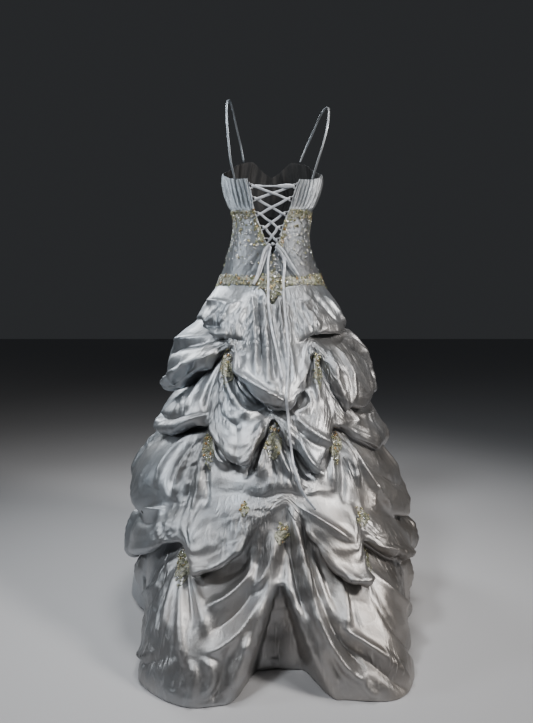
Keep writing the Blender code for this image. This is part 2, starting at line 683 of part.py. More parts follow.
def ease(grid):
    """How far each inner point moves to open the sharpest folds, so that the wall has room in them."""
    _, lean = mean_and_lean(face_normals(grid))
    tight = np.clip((EASE_LEAN - lean) / EASE_LEAN, 0, 1)[..., None] * EASE_SHARE
    middle = (grid[:-2, 1:-1] + grid[2:, 1:-1] + grid[1:-1, :-2] + grid[1:-1, 2:]) / 4
    return tight * (middle - grid[1:-1, 1:-1])


def bodice_reach(angle, height):
    sizes = [read(BODICE_COLUMNS, BODICE_ROWS, name, height) for name in BODICE_COLUMNS[1:]]
    return oval(angle, *sizes, 2.0)


def bodice_point(angle, height):
    reach = bodice_reach(angle, height)
    turn = np.radians(angle)
    return np.stack([reach * np.sin(turn), -reach * np.cos(turn), height], axis=-1)


def outward(grid, level):
    """Directions out of a grid's face, level ones if asked, longer where the cloth folds.

    Rows run down and columns right. Each is the mean of the faces about its point.
    """
    faces = face_normals(grid)
    if level:
        faces[..., 2] = 0
        faces /= np.linalg.norm(faces, axis=-1, keepdims=True)
    out, lean = mean_and_lean(np.pad(faces, ((1, 1), (1, 1), (0, 0)), mode="edge"))
    return out / np.clip(lean, LEAST_LEAN, 1)[..., None]


def new_object(name, points, faces, material):
    """A closed mesh, its faces turned outward."""
    lowered = np.array(points, float)
    lowered[:, 2] -= SHOULDER_HEIGHT
    fans = [(face[0], face[k], face[k + 1]) for face in faces for k in range(1, len(face) - 1)]
    if np.linalg.det(lowered[fans] - lowered[0]).sum() < 0:
        faces = [face[::-1] for face in faces]
    mesh = bpy.data.meshes.new(name)
    mesh.from_pydata(lowered.tolist(), [], faces)
    mesh.materials.append(material)
    mesh.polygons.foreach_set("use_smooth", [True] * len(faces))
    mesh.update()
    made = bpy.data.objects.new(name, mesh)
    bpy.context.scene.collection.objects.link(made)
    return made


def wall(name, outer, inner, material):
    """A closed wall between two grids of the same size."""
    rows, columns = outer.shape[:2]
    count = rows * columns
    faces = []

    def quad(a, b, c, d):
        faces.append((a, b, c))
        faces.append((a, c, d))

    for row in range(rows - 1):
        for column in range(columns - 1):
            a = row * columns + column
            b = a + columns
            quad(a, b, b + 1, a + 1)
            quad(a + count, a + 1 + count, b + 1 + count, b + count)
    for column in range(columns - 1):
        top = column
        foot = (rows - 1) * columns + column
        quad(top + count, top, top + 1, top + 1 + count)
        quad(foot, foot + count, foot + 1 + count, foot + 1)
    for row in range(rows - 1):
        left = row * columns
        right = left + columns - 1
        quad(left, left + count, left + columns + count, left + columns)
        quad(right + count, right, right + columns, right + columns + count)
    points = np.concatenate([outer.reshape(-1, 3), inner.reshape(-1, 3)])
    return new_object(name, points, faces, material)


def clear():
    for item in list(bpy.data.objects):
        bpy.data.objects.remove(item, do_unlink=True)


def make_materials():
    made = {}
    for name, (colour, roughness, metallic) in MATERIALS.items():
        material = bpy.data.materials.new(name)
        material.use_nodes = True
        shader = material.node_tree.nodes["Principled BSDF"]
        shader.inputs["Base Color"].default_value = (*colour, 1.0)
        shader.inputs["Roughness"].default_value = roughness
        shader.inputs["Metallic"].default_value = metallic
        made[name] = material
    return made


def skirt_panel(name, ring, directions, angles, material):
    """One panel of the skirt, its two side seams half a gap short of the middle plane.

    It is made in three lengths that meet deep in the tucks.
    """
    behind = -1 if name == "skirt_back" else 1
    outer, out = ring.copy(), directions.copy()
    for edge, axis in ((out[0], 2), (out[-1], 2), (out[:, 0], 1), (out[:, -1], 1)):
        edge[:, axis] = 0
        edge /= np.linalg.norm(edge, axis=-1, keepdims=True)
    inner = outer - out * CLOTH
    for grid in (outer, inner):
        grid[:, 0, 1] += behind * GAP / 2
        grid[:, -1, 1] += behind * GAP / 2
        grid[0, :, 2] -= 2 * GAP
    ends = [0] + [sum(len(steps) for steps in TIER_STEPS[:count]) for count in LENGTH_TIERS]
    ends.append(len(outer) - 1)
    for word, first, last in zip(("upper", "middle", "lower"), ends, ends[1:]):
        lengths = [grid[first : last + 1].copy() for grid in (outer, inner)]
        for row, place, way in ((first, 0, 1), (last, -1, -1)):
            if 0 < row < len(outer) - 1:
                along = np.gradient(outer[row], axis=0)
                down = np.cross(along, out[row])
                down *= np.sign(((outer[row + 1] - outer[row - 1]) * down).sum(axis=-1))[:, None]
                down /= np.linalg.norm(down, axis=-1, keepdims=True)
                for length in lengths:
                    length[place] += down * way * LENGTH_GAP
        wall(f"{name}_{word}", *lengths, material)
    return outer, out, angles


def opening(height, side):
    """The opening edge's distance from the middle plane; below the opening, half a seam gap."""
    name = "left" if side < 0 else "right"
    open_here = read(OPENING_COLUMNS, OPENING_ROWS, name, height)
    return np.where(height < OPENING_ROWS[0][0], GAP / 2, np.maximum(open_here, GAP / 2))


def edge_angle(height, side):
    """The opening edge's angle from the centre back, in degrees."""
    across = opening(height, side)
    half = read(BODICE_COLUMNS, BODICE_ROWS, "left" if side < 0 else "right", height)
    deep = read(BODICE_COLUMNS, BODICE_ROWS, "back", height)
    return side * np.degrees(np.arctan2(across, deep * np.sqrt(1 - (across / half) ** 2)))


def torso_heights(angle):
    top = np.full_like(angle, UNDERBUST_HEIGHT)
    band = np.full_like(angle, BAND_FOOT_HEIGHT)
    hip_top = around(BODICE_EDGE_COLUMNS, BODICE_EDGE_ROWS, "band_top", angle)
    foot = around(BODICE_EDGE_COLUMNS, BODICE_EDGE_ROWS, "foot", angle)
    rows = [top]
    rows.extend(band + (hip_top - band) * step for step in TORSO_STEPS)
    return np.array(rows + [foot])


def bust_heights(angle):
    top = around(BODICE_EDGE_COLUMNS, BODICE_EDGE_ROWS, "top", angle)
    foot = UNDERBUST_HEIGHT + GAP
    return np.array([top + (foot - top) * step for step in BUST_STEPS])


def back_panel(side, steps, heights_at):
    """A bodice panel from the side seam to the opening edge, columns from left to right."""
    steps = np.asarray(steps if side < 0 else steps[::-1], float)
    angles = np.tile(side * 90.0 * (1 - steps), (len(heights_at(steps)), 1))
    for _ in range(4):
        heights = np.array([heights_at(row)[place] for place, row in enumerate(angles)])
        angles = side * 90.0 + steps * (edge_angle(heights, side) - side * 90.0)
    return bodice_point(angles, heights)


def front_panel(cells, heights_at):
    angles = np.linspace(90, 270, cells + 1)
    heights = heights_at(angles)
    return bodice_point(np.tile(angles, (len(heights), 1)), heights)


def part_at_seams(grids, sides):
    """Takes half a gap off at the side seams, which lie on the plane y = 0."""
    for grid in grids:
        for column, way in sides:
            grid[:, column, 1] = way * GAP / 2


def level_wall(name, grid, rise, sides, material, offset=0.0):
    """A bodice wall with level directions, plain inside, raised outside."""
    out = outward(grid, True)
    for column, _ in sides:
        out[:, column] = (np.sign(grid[0, column, 0]), 0, 0)
    outer = grid + out * (np.asarray(rise)[..., None] + offset)
    inner = grid - out * (CLOTH - offset)
    part_at_seams((outer, inner), sides)
    return wall(name, outer, inner, material)


def trim(name, grid, rows, columns, sides, material):
    """A band lying on a bodice panel."""
    out = outward(grid, True)
    for column, _ in sides:
        out[:, column] = (np.sign(grid[0, column, 0]), 0, 0)
    part = grid[rows[0] : rows[1], columns[0] : columns[1]]
    out = out[rows[0] : rows[1], columns[0] : columns[1]]
    outer, inner = part + out * (GAP + TRIM), part + out * GAP
    here = [(column, way) for column, way in sides if columns[0] <= column % grid.shape[1] < columns[1]]
    part_at_seams((outer, inner), [(0 if column == 0 else -1, way) for column, way in here])
    return wall(name, outer, inner, material)


def pleats(count, height_count, flip):
    """Rises of uneven gathers, one column in STEPS_PER_PLEAT on each crest."""
    columns = count * STEPS_PER_PLEAT + 1
    place = np.arange(columns) / STEPS_PER_PLEAT
    wave = 0.5 - 0.5 * np.cos(2 * math.pi * place)
    uneven = 0.72 + 0.28 * np.sin(place * 2.4 + flip)
    return np.outer(PLEAT_SHARES[:height_count], PLEAT_RISE * wave * uneven)


def sweep(name, path, across, size, material):
    """A flat strip along a path. Across gives its width direction at each point."""
    path = np.asarray(path, float)
    along = np.gradient(path, axis=0)
    along /= np.linalg.norm(along, axis=1, keepdims=True)
    across = np.asarray(across, float)
    thick = np.cross(across, along)
    thick /= np.linalg.norm(thick, axis=1, keepdims=True)
    width, depth = size
    corners = ((-1, -1), (1, -1), (1, 1), (-1, 1))
    rings = [path + across * width / 2 * a + thick * depth / 2 * b for a, b in corners]
    points = np.stack(rings, axis=1).reshape(-1, 3)
    faces = []
    for ring in range(len(path) - 1):
        for corner in range(4):
            a = ring * 4 + corner
            b = ring * 4 + (corner + 1) % 4
            faces.append((a, b, b + 4, a + 4))
    last = (len(path) - 1) * 4
    faces.append((3, 2, 1, 0))
    faces.append((last, last + 1, last + 2, last + 3))
    return new_object(name, points, faces, material)


def curve_through(points, samples):
    """Evenly spaced points of a smooth curve through the given ones."""
    points = np.asarray(points, float)
    spans = np.linalg.norm(np.diff(points, axis=0), axis=1)
    place = np.concatenate([[0], np.cumsum(spans)])
    fine = np.linspace(0, place[-1], samples)
    ways = np.diff(points, axis=0) / spans[:, None]
    before, after = spans[:-1, None], spans[1:, None]
    bends = (ways[:-1] * after + ways[1:] * before) / (before + after)
    tangents = np.vstack([ways[:1], bends, ways[-1:]])
    at = np.clip(np.searchsorted(place, fine) - 1, 0, len(spans) - 1)
    t = ((fine - place[at]) / spans[at])[:, None]
    a, b, span = points[at], points[at + 1], spans[at][:, None]
    return (
        a * (1 + 2 * t) * (1 - t) ** 2
        + b * t * t * (3 - 2 * t)
        + span * tangents[at] * t * (1 - t) ** 2
        - span * tangents[at + 1] * t * t * (1 - t)
    )


def strap(name, rows, material):
    path = curve_through(rows, STRAP_SAMPLES)
    along = np.gradient(path, axis=0)
    out = path - np.array((0.0, 0.0, STRAP_CENTRE_HEIGHT))
    out[:, 0] *= STRAP_SIDE_LEAN
    across = np.cross(along, out)
    across /= np.linalg.norm(across, axis=1, keepdims=True)
    return sweep(name, path, across, (STRAP_WIDTH, STRAP_THICKNESS), material)


def loop_tip(place, side):
    """The outermost point of one lacing loop."""
    height = LOOP_HEIGHTS[place]
    across = side * float(opening(height, side))
    half = read(BODICE_COLUMNS, BODICE_ROWS, "left" if side < 0 else "right", height)
    deep = read(BODICE_COLUMNS, BODICE_ROWS, "back", height)
    behind = -deep * math.sqrt(1 - (across / half) ** 2)
    reach = min(LOOP_REACH, abs(across) - LOOP_CLEARANCE)
    return np.array((across - side * reach, float(behind) + CLOTH / 2, height))


def loop_cord(name, side, material):
    """One cord along an opening edge, standing out in a loop for each crossing."""
    path = []
    top, foot = LOOP_HEIGHTS[0] + CORD_PAST, LOOP_HEIGHTS[-1] - CORD_PAST

    def on_edge(height):
        across = side * (float(opening(height, side)) - LOOP_STAND)
        half = read(BODICE_COLUMNS, BODICE_ROWS, "left" if side < 0 else "right", height)
        deep = read(BODICE_COLUMNS, BODICE_ROWS, "back", height)
        behind = -float(deep) * math.sqrt(1 - (across / float(half)) ** 2)
        return np.array((across, behind + CLOTH / 2, height))

    path.append(on_edge(top))
    for place, height in enumerate(LOOP_HEIGHTS):
        tip = loop_tip(place, side)
        upper = on_edge(height + LOOP_HALF_HEIGHT)
        lower = on_edge(height - LOOP_HALF_HEIGHT)
        path.append(upper)
        path.append(tip + (0, 0, LOOP_END_HALF_HEIGHT))
        path.append(tip - (0, 0, LOOP_END_HALF_HEIGHT))
        path.append(lower)
    path.append(on_edge(foot))
    curve = bpy.data.curves.new(name, "CURVE")
    curve.dimensions = "3D"
    curve.bevel_depth = CORD_DIAMETER / 2
    curve.bevel_resolution = 0
    curve.use_fill_caps = True
    line = curve.splines.new("POLY")
    line.points.add(len(path) - 1)
    for point, place in zip(line.points, path):
        point.co = (place[0], place[1], place[2] - SHOULDER_HEIGHT, 1.0)
    curve.materials.append(material)
    made = bpy.data.objects.new(name, curve)
    bpy.context.scene.collection.objects.link(made)
    return made


def lacing(name, material):
    """The ribbon from the knot up one side, across the top and down the other side."""
    forth = [(place, -1 if place % 2 == 0 else 1) for place in range(len(LOOP_HEIGHTS))]
    back = [(place, -side) for place, side in forth]
    stops = forth[::-1] + back
    path = []
    for number, (place, side) in enumerate(stops):
        tip = loop_tip(place, side)
        wrap_run = min(WRAP_RUN, abs(tip[0]) * WRAP_SHARE)
        first_half = number < len(forth)
        if number > 0:
            path.append(tip + (side * -wrap_run, -WRAP_LIFT, 0))
            path.append(tip + (side * WRAP_PAST * 0.5, -WRAP_LIFT, 0))
            path.append(tip + (side * WRAP_PAST, 0, 0))
        if number < len(stops) - 1:
            path.append(tip + (side * WRAP_PAST * 0.5, WRAP_LIFT, 0))
            path.append(tip + (side * -wrap_run, WRAP_LIFT, 0))
            after = loop_tip(*stops[number + 1])
            lifts = (-CROSSING_LIFT,) * 3 if first_half else (CROSSING_LIFT,) * 3
            if place == 0 and stops[number + 1][0] == 0:
                lifts = TOP_SPAN_LIFTS
            for share, lift in zip(CROSSING_SHARES, lifts):
                path.append(tip + (after - tip) * share + (0, lift, 0))
    across = np.tile((0.0, 0.0, 1.0), (len(path), 1))
    return sweep(name, path, across, (RIBBON_WIDTH, RIBBON_THICKNESS), material)


def knot(name, material):
    depth = float(read(BODICE_COLUMNS, BODICE_ROWS, "back", KNOT_HEIGHT))
    bpy.ops.mesh.primitive_uv_sphere_add(segments=10, ring_count=6, radius=0.5)
    made = bpy.context.object
    made.name = name
    place = Vector((0.0015, -depth - KNOT_FORWARD, KNOT_HEIGHT - SHOULDER_HEIGHT))
    made.data.transform(Matrix.Translation(place) @ Matrix.Diagonal((*KNOT_SIZE, 1.0)))
    made.data.materials.append(material)
    bpy.ops.object.shade_smooth()
    return made


def cloth_behind():
    """Close points of the centre back, for what hangs in front of it."""
    angles = np.linspace(-HANG_ANGLE, HANG_ANGLE, 61)
    rows = []
    for tier in range(len(TIER_STEPS) + 1):
        rows.extend(skirt_point(angles, tier, step) for step in np.linspace(0, 1, 12))
    for height in np.arange(0.90, 1.10, 0.01):
        rows.append(bodice_point(angles, np.full_like(angles, height)))
    return np.concatenate(rows)


def hang(name, rows, cloth, material, samples, level_end=None):
    """A strip of ribbon hanging off the cloth behind it, whose points are given.

    A loop that turns back on itself keeps square to the line from its start to its level end.
    """
    flat = curve_through([(across, off, height) for across, height, off in rows], samples)
    depths = []
    for across, off, height in flat:
        near = np.abs(cloth[:, 0] - across) < HANG_WINDOW
        near &= np.abs(cloth[:, 2] - height) < HANG_DROP
        depths.append(cloth[near, 1].min())
    depths = np.array(depths)
    eased = depths.copy()
    for _ in range(HANG_ROUNDS):
        padded = np.concatenate([eased[:1], eased, eased[-1:]])
        eased = np.minimum(depths, (padded[:-2] + padded[1:-1] + padded[2:]) / 3)
    path = np.stack([flat[:, 0], eased - flat[:, 1], flat[:, 2]], axis=1)
    along = np.gradient(path, axis=0)
    if level_end is not None:
        (start_x, start_z, _), (end_x, end_z, _) = rows[0], rows[level_end]
        along[:] = (end_x - start_x, 0.0, end_z - start_z)
    across = np.cross(along, (0.0, -1.0, 0.0))
    across /= np.linalg.norm(across, axis=1, keepdims=True)
    return sweep(name, path, across, (RIBBON_WIDTH, RIBBON_THICKNESS), material)


def drop_outline(width, length):
    """A pointed drop with scalloped sides, across and down from its top."""
    sides = []
    for step in range(MOTIF_POINTS // 2 + 1):
        share = step / (MOTIF_POINTS // 2)
        bulge = math.sin(math.pi * (0.25 + 0.75 * share)) ** 0.9
        scallop = 1 + 0.12 * math.cos(share * 5 * math.pi)
        sides.append((width / 2 * bulge * scallop, length * share))
    right = sides[:-1]
    left = [(-across, down) for across, down in sides[:-1]]
    return right + [(0.0, length)] + left[::-1]


def motif(name, panel, angle, tier, width, length, material):
    """Lace lying on the cloth just under a pick-up: the cloth's own points moved out, cut to a drop."""
    outer, out, angles = panel
    first = sum(len(steps) for steps in TIER_STEPS[:tier]) + 1
    last = first + len(TIER_STEPS[tier] if tier < len(TIER_STEPS) else HEM_STEPS) - 1
    middle = int(np.argmin(np.abs(np.asarray(angles) - angle)))
    column_a, column_b = max(middle - 4, 0), min(middle + 5, len(angles))
    part = outer[first:last, column_a:column_b]
    part_out = out[first:last, column_a:column_b]
    made = wall(name, part + part_out * (GAP + TRIM), part + part_out * GAP, material)
    turn = math.radians(angle if 90 < angle < 270 else 0)
    right = np.array((math.cos(turn), math.sin(turn), 0.0))
    away = np.array((math.sin(turn), -math.cos(turn), 0.0))
    top = outer[first, middle]
    outline = drop_outline(width, length)
    points = []
    for depth in (-0.16, 0.16):
        points.extend(top + right * across + away * depth - (0, 0, down) for across, down in outline)
    count = len(outline)
    faces = [tuple(range(count)), tuple(range(2 * count - 1, count - 1, -1))]
    for place in range(count):
        after = (place + 1) % count
        faces.append((place, place + count, after + count, after))
    cutter = new_object(name + "_cutter", points, faces, material)
    cutter.hide_render = True
    cutter.display_type = "WIRE"
    cut = made.modifiers.new("outline", "BOOLEAN")
    cut.operation = "INTERSECT"
    cut.solver = "EXACT"
    cut.object = cutter
    return made


def build():
    clear()
    palette = make_materials()
    taffeta, lace = palette["taffeta"], palette["bead_lace"]
    ribbon, corded = palette["satin_ribbon"], palette["corded_loop"]

    ring, out = skirt_ring()
    seam = len(BACK_ANGLES)
    skirt_back = skirt_panel("skirt_back", ring[:, :seam], out[:, :seam], BACK_ANGLES, taffeta)
    front = slice(seam - 1, None)
    skirt_front = skirt_panel("skirt_front", ring[:, front], out[:, front], FRONT_ANGLES, taffeta)
    for name, angle, tier, width, length in MOTIFS:
        panel = skirt_back if abs(angle) < 90 else skirt_front
        motif(name, panel, angle if abs(angle) < 90 else angle % 360, tier, width, length, lace)

    backs = {}
    for word, side in (("left", -1), ("right", 1)):
        seam = [(0 if side < 0 else -1, -1)]
        grid = back_panel(side, BACK_STEPS, torso_heights)
        backs[word] = grid
        torso_grid = grid.copy()
        torso_grid[0, :, 2] -= GAP / 2
        level_wall(f"torso_back_{word}", torso_grid, np.zeros(grid.shape[:2]), seam, taffeta)
        columns = len(BACK_STEPS)
        trim(f"lace_underbust_{word}", grid, (0, 2), (0, columns), seam, lace)
        edge = (EDGE_LACE_STEP, columns) if side < 0 else (0, columns - EDGE_LACE_STEP)
        trim(f"lace_edge_{word}", grid, EDGE_LACE_ROWS, edge, seam, lace)
        steps = np.linspace(0, 1, BACK_PLEATS * STEPS_PER_PLEAT + 1)
        bust = back_panel(side, steps, bust_heights)
        rise = pleats(BACK_PLEATS, len(BUST_STEPS), 1.0 + side)
        level_wall(f"bust_back_{word}", bust, rise, seam, taffeta, BUST_OFFSET)
        loop_cord(f"lacing_loops_{word}", side, corded)

    across = np.concatenate([backs["left"], backs["right"][:, 1:]], axis=1)
    middle = len(BACK_STEPS) - 1
    across[across[:, middle, 2] < OPENING_ROWS[0][0], middle, 0] = 0
    seams = [(0, -1), (-1, -1)]
    hip_row = len(TORSO_STEPS)
    trim("lace_hip_back", across, (hip_row, hip_row + 2), (0, across.shape[1]), seams, lace)

    front = front_panel(FRONT_CELLS, torso_heights)
    seams = [(0, 1), (-1, 1)]
    level_wall("torso_front", front, np.zeros(front.shape[:2]), seams, taffeta)
    trim("lace_underbust_front", front, (0, 2), (0, FRONT_CELLS + 1), seams, lace)
    trim("lace_hip_front", front, (hip_row, hip_row + 2), (0, FRONT_CELLS + 1), seams, lace)
    bust = front_panel(FRONT_PLEATS * STEPS_PER_PLEAT, bust_heights)
    rise = pleats(FRONT_PLEATS, len(BUST_STEPS), 0.5)
    level_wall("bust_front", bust, rise, seams, taffeta, BUST_OFFSET)

    strap("strap_left", STRAP_LEFT, taffeta)
    strap("strap_right", STRAP_RIGHT, taffeta)
    lacing("lacing_ribbon", ribbon)
    knot("lacing_knot", ribbon)
    cloth = cloth_behind()
    hang("bow_loop_left", BOW_LEFT, cloth, ribbon, BOW_SAMPLES, BOW_TURN_ROW)
    hang("bow_loop_right", BOW_RIGHT, cloth, ribbon, BOW_SAMPLES, BOW_TURN_ROW)
    hang("ribbon_tail_left", TAIL_LEFT, cloth, ribbon, TAIL_SAMPLES)
    hang("ribbon_tail_right", TAIL_RIGHT, cloth, ribbon, TAIL_SAMPLES)


build()
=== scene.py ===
import bpy
import bmesh
import json
import math
import numpy as np
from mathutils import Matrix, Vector
from mathutils.bvhtree import BVHTree

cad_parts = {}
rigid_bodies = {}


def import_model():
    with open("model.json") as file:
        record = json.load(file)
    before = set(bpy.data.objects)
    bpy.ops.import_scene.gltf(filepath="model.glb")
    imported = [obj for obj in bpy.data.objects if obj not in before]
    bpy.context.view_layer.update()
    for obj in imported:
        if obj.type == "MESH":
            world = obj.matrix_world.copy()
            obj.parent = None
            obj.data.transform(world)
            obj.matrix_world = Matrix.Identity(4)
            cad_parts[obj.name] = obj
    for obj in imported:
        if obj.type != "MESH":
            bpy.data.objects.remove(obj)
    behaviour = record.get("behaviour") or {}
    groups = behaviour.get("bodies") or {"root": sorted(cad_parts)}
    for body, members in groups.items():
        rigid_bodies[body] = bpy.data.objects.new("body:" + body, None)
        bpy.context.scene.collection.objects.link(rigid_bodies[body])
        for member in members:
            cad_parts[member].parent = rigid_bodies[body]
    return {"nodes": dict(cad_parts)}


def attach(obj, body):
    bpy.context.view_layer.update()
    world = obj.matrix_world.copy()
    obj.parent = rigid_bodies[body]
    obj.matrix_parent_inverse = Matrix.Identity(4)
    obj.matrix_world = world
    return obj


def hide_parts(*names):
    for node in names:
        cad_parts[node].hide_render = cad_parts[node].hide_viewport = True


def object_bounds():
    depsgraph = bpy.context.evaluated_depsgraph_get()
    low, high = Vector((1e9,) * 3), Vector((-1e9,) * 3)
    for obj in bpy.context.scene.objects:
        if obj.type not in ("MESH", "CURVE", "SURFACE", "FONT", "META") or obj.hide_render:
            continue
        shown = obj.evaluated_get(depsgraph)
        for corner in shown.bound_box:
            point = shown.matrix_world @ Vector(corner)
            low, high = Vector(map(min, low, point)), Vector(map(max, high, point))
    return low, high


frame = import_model()
cadLow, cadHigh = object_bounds()
for thing in bpy.data.objects:
    thing.select_set(False)
shoulderHeight = 1.490    # the tables below count heights from the hem
print("frame loaded")


cameraSettings = {
    "across": -0.0167,
    "away": -1.974,
    "height": 0.892,
    "tiltDegrees": 85.0,
    "lens": 32.366,
    "sensor": 36.0,
    # the lens, and the gown's middle, in pixels of the 533 x 723 frame
    "focus": 650.0,
    "middle": (272.0, 361.5),
}


def placed(name, data):
    # a new object in the scene
    thing = bpy.data.objects.new(name, data)
    bpy.context.scene.collection.objects.link(thing)
    return thing


cameraData = bpy.data.cameras.new("camera")
cameraData.lens = cameraSettings["lens"]
cameraData.sensor_width = cameraSettings["sensor"]
camera = placed("camera", cameraData)
camera.location = (
    cameraSettings["across"],
    cameraSettings["away"],
    cameraSettings["height"] - shoulderHeight,
)
camera.rotation_euler = (math.radians(cameraSettings["tiltDegrees"]), 0.0, 0.0)
bpy.context.scene.camera = camera
print("camera placed")


def smoothThrough(xs, ys, x):
    # a curve through the rows that never swings past them
    xs = np.asarray(xs, float)
    ys = np.asarray(ys, float)
    steps = np.diff(xs)
    slopes = np.diff(ys) / steps
    tangents = np.zeros(len(xs))
    same = slopes[1:] * slopes[:-1] > 0
    low, high = slopes[:-1][same], slopes[1:][same]
    tangents[1:-1][same] = 2 * low * high / (low + high)
    tangents[0], tangents[-1] = slopes[0], slopes[-1]
    x = np.clip(np.asarray(x, float), xs[0], xs[-1])
    at = np.clip(np.searchsorted(xs, x) - 1, 0, len(steps) - 1)
    t = (x - xs[at]) / steps[at]
    return (
        ys[at] * (1 + 2 * t) * (1 - t) ** 2
        + ys[at + 1] * t * t * (3 - 2 * t)
        + steps[at] * (tangents[at] * t * (1 - t) ** 2 - tangents[at + 1] * t * t * (1 - t))
    )


def readTable(table, column, x):
    place = table["columns"].index(column)
    return smoothThrough([row[0] for row in table["rows"]], [row[place] for row in table["rows"]], x)


def readRound(table, column, angle):
    # as readTable, for a table whose first column is an angle all round
    return readTable(table, column, (np.asarray(angle, float) + 180) % 360 - 180)


def ovalReach(angle, left, right, back, front, power):
    turn = np.radians(angle)
    across, along = np.sin(turn), np.cos(turn)
    side = np.where(across < 0, left, right)
    depth = np.where(along > 0, back, front)
    return (np.abs(across / side) ** power + np.abs(along / depth) ** power) ** (-1 / power)


randomTable = np.random.default_rng(11).random(4096)


def valueNoise(points, seed):
    # smooth noise from 0 to 1 at points given in cells
    cell = np.floor(points).astype(np.int64)
    part = points - cell
    part = part * part * (3 - 2 * part)
    total = np.zeros(points.shape[:-1])
    for dx in (0, 1):
        for dy in (0, 1):
            for dz in (0, 1):
                key = (
                    (cell[..., 0] + dx) * 73856093
                    ^ (cell[..., 1] + dy) * 19349663
                    ^ (cell[..., 2] + dz) * 83492791
                    ^ seed * 2654435
                ) & 4095
                weight = (
                    (part[..., 0] if dx else 1 - part[..., 0])
                    * (part[..., 1] if dy else 1 - part[..., 1])
                    * (part[..., 2] if dz else 1 - part[..., 2])
                )
                total += weight * randomTable[key]
    return total


def noiseOver(seed, *parts):
    # the same for coordinates given one by one
    return valueNoise(np.stack(np.broadcast_arrays(*parts), axis=-1), seed)


def creaseNoise(points, seed):
    # sharp ridges between soft hollows, from 0 to 1
    return 1 - np.abs(2 * valueNoise(points, seed) - 1)


def unit(ways):
    return ways / np.maximum(np.linalg.norm(ways, axis=-1, keepdims=True), 1e-12)


def faceWays(grid):
    # unit directions out of the faces of a grid of points, rows running down and columns right
    return unit(np.cross(grid[1:, :-1] - grid[:-1, 1:], grid[1:, 1:] - grid[:-1, :-1]))


def gridNormals(grid):
    # the same for the points of a grid
    padded = np.pad(faceWays(grid), ((1, 1), (1, 1), (0, 0)), mode="edge")
    return unit(padded[:-1, :-1] + padded[1:, :-1] + padded[:-1, 1:] + padded[1:, 1:])


def wrapped(ring):
    # a ring of columns with its neighbours from the other side of the join
    return np.concatenate([ring[:, -1:], ring, ring[:, :1]], axis=1)


def ringNormals(ring):
    return gridNormals(wrapped(ring))[:, 1:-1]


def gridMesh(name, grid, material, normals=None, wall=0.0, inside=None, crinkle=0.5):
    # a cloth shell on a grid of points, with a UV map in metres of cloth and an inner wall in the inside
    # material, which on the gown paints the inside near-black as shade
    # crinkle says how crumpled it is, all over or point by point; the material also scales its painted
    # crest highlights and hollow shade by it
    rows, columns = grid.shape[:2]
    index = np.arange(rows * columns).reshape(rows, columns)
    a, b = index[:-1, :-1].ravel(), index[1:, :-1].ravel()
    c, d = index[1:, 1:].ravel(), index[:-1, 1:].ravel()
    quads = np.stack([a, b, c, d], axis=1)
    acrossStep = np.linalg.norm(np.diff(grid, axis=1), axis=-1).mean(axis=0)
    downStep = np.linalg.norm(np.diff(grid, axis=0), axis=-1).mean(axis=1)
    across = np.concatenate([[0], np.cumsum(acrossStep)])
    down = np.concatenate([[0], np.cumsum(downStep)])
    uv = np.stack(np.meshgrid(across, -down), axis=-1).reshape(-1, 2)
    points = grid.reshape(-1, 3)
    count = len(points)
    if wall > 0:
        out = (gridNormals(grid) if normals is None else normals).reshape(-1, 3)
        points = np.concatenate([points, points - out * wall])
        inner = quads[:, ::-1] + count
        rim = []
        for edge in (index[0], index[:, -1], index[-1][::-1], index[:, 0][::-1]):
            rim.append(np.stack([edge[:-1], edge[1:], edge[1:] + count, edge[:-1] + count], axis=1))
        quads = np.concatenate([quads, inner] + rim)
        uv = np.concatenate([uv, uv])
    mesh = bpy.data.meshes.new(name)
    mesh.from_pydata(points.tolist(), [], quads.tolist())
    layer = mesh.uv_layers.new(name="cloth")
    layer.data.foreach_set("uv", uv[quads.ravel()].astype(np.float32).ravel())
    mesh.polygons.foreach_set("use_smooth", [True] * len(quads))
    mesh.materials.append(material)
    if inside:
        mesh.materials.append(inside)
        # the inner wall takes the inside material: painted near-black shade
        insideShadeFaces = np.zeros(len(quads), dtype=np.int32)
        insideShadeFaces[(rows - 1) * (columns - 1) : 2 * (rows - 1) * (columns - 1)] = 1
        mesh.polygons.foreach_set("material_index", insideShadeFaces)
    mesh.update()
    share = np.resize(np.broadcast_to(crinkle, grid.shape[:2]).ravel(), len(points))
    mesh.attributes.new("crinkle", "FLOAT", "POINT").data.foreach_set("value", share)
    if wall > 0:
        spread = np.concatenate([out, -out])
        mesh.normals_split_custom_set_from_vertices(spread.tolist())
    return placed(name, mesh)


def settle(piece, slot, *nodes):
    # the piece rides with the gown and stands for these nodes
    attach(piece, "root")
    if nodes:
        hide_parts(*nodes)
    return piece


def pointsOf(piece):
    points = np.empty(len(piece.data.vertices) * 3)
    piece.data.vertices.foreach_get("co", points)
    return points.reshape(-1, 3)


def sheetArea(piece):
    areas = np.zeros(len(piece.data.polygons))
    piece.data.polygons.foreach_get("area", areas)
    return float(areas.sum())


# The same named sizes as the solids: metres, and degrees from the centre back towards the wearer's right.
bodiceSections = {
    "columns": ("height", "left", "right", "back", "front"),
    "rows": (
        (0.88, 0.19, 0.182, 0.15, 0.14), (0.945, 0.166, 0.158, 0.13, 0.122),
        (0.98, 0.153, 0.144, 0.118, 0.115), (1.01, 0.141, 0.128, 0.107, 0.109),
        (1.04, 0.133, 0.118, 0.097, 0.104), (1.07, 0.124, 0.111, 0.09, 0.101),
        (1.1, 0.117, 0.11, 0.087, 0.101), (1.137, 0.115, 0.114, 0.088, 0.106),
        (1.166, 0.121, 0.118, 0.09, 0.114), (1.19, 0.131, 0.129, 0.092, 0.13),
        (1.225, 0.142, 0.141, 0.094, 0.142), (1.26, 0.148, 0.148, 0.095, 0.143),
        (1.3, 0.146, 0.146, 0.094, 0.134), (1.345, 0.138, 0.138, 0.09, 0.12),
    ),
}
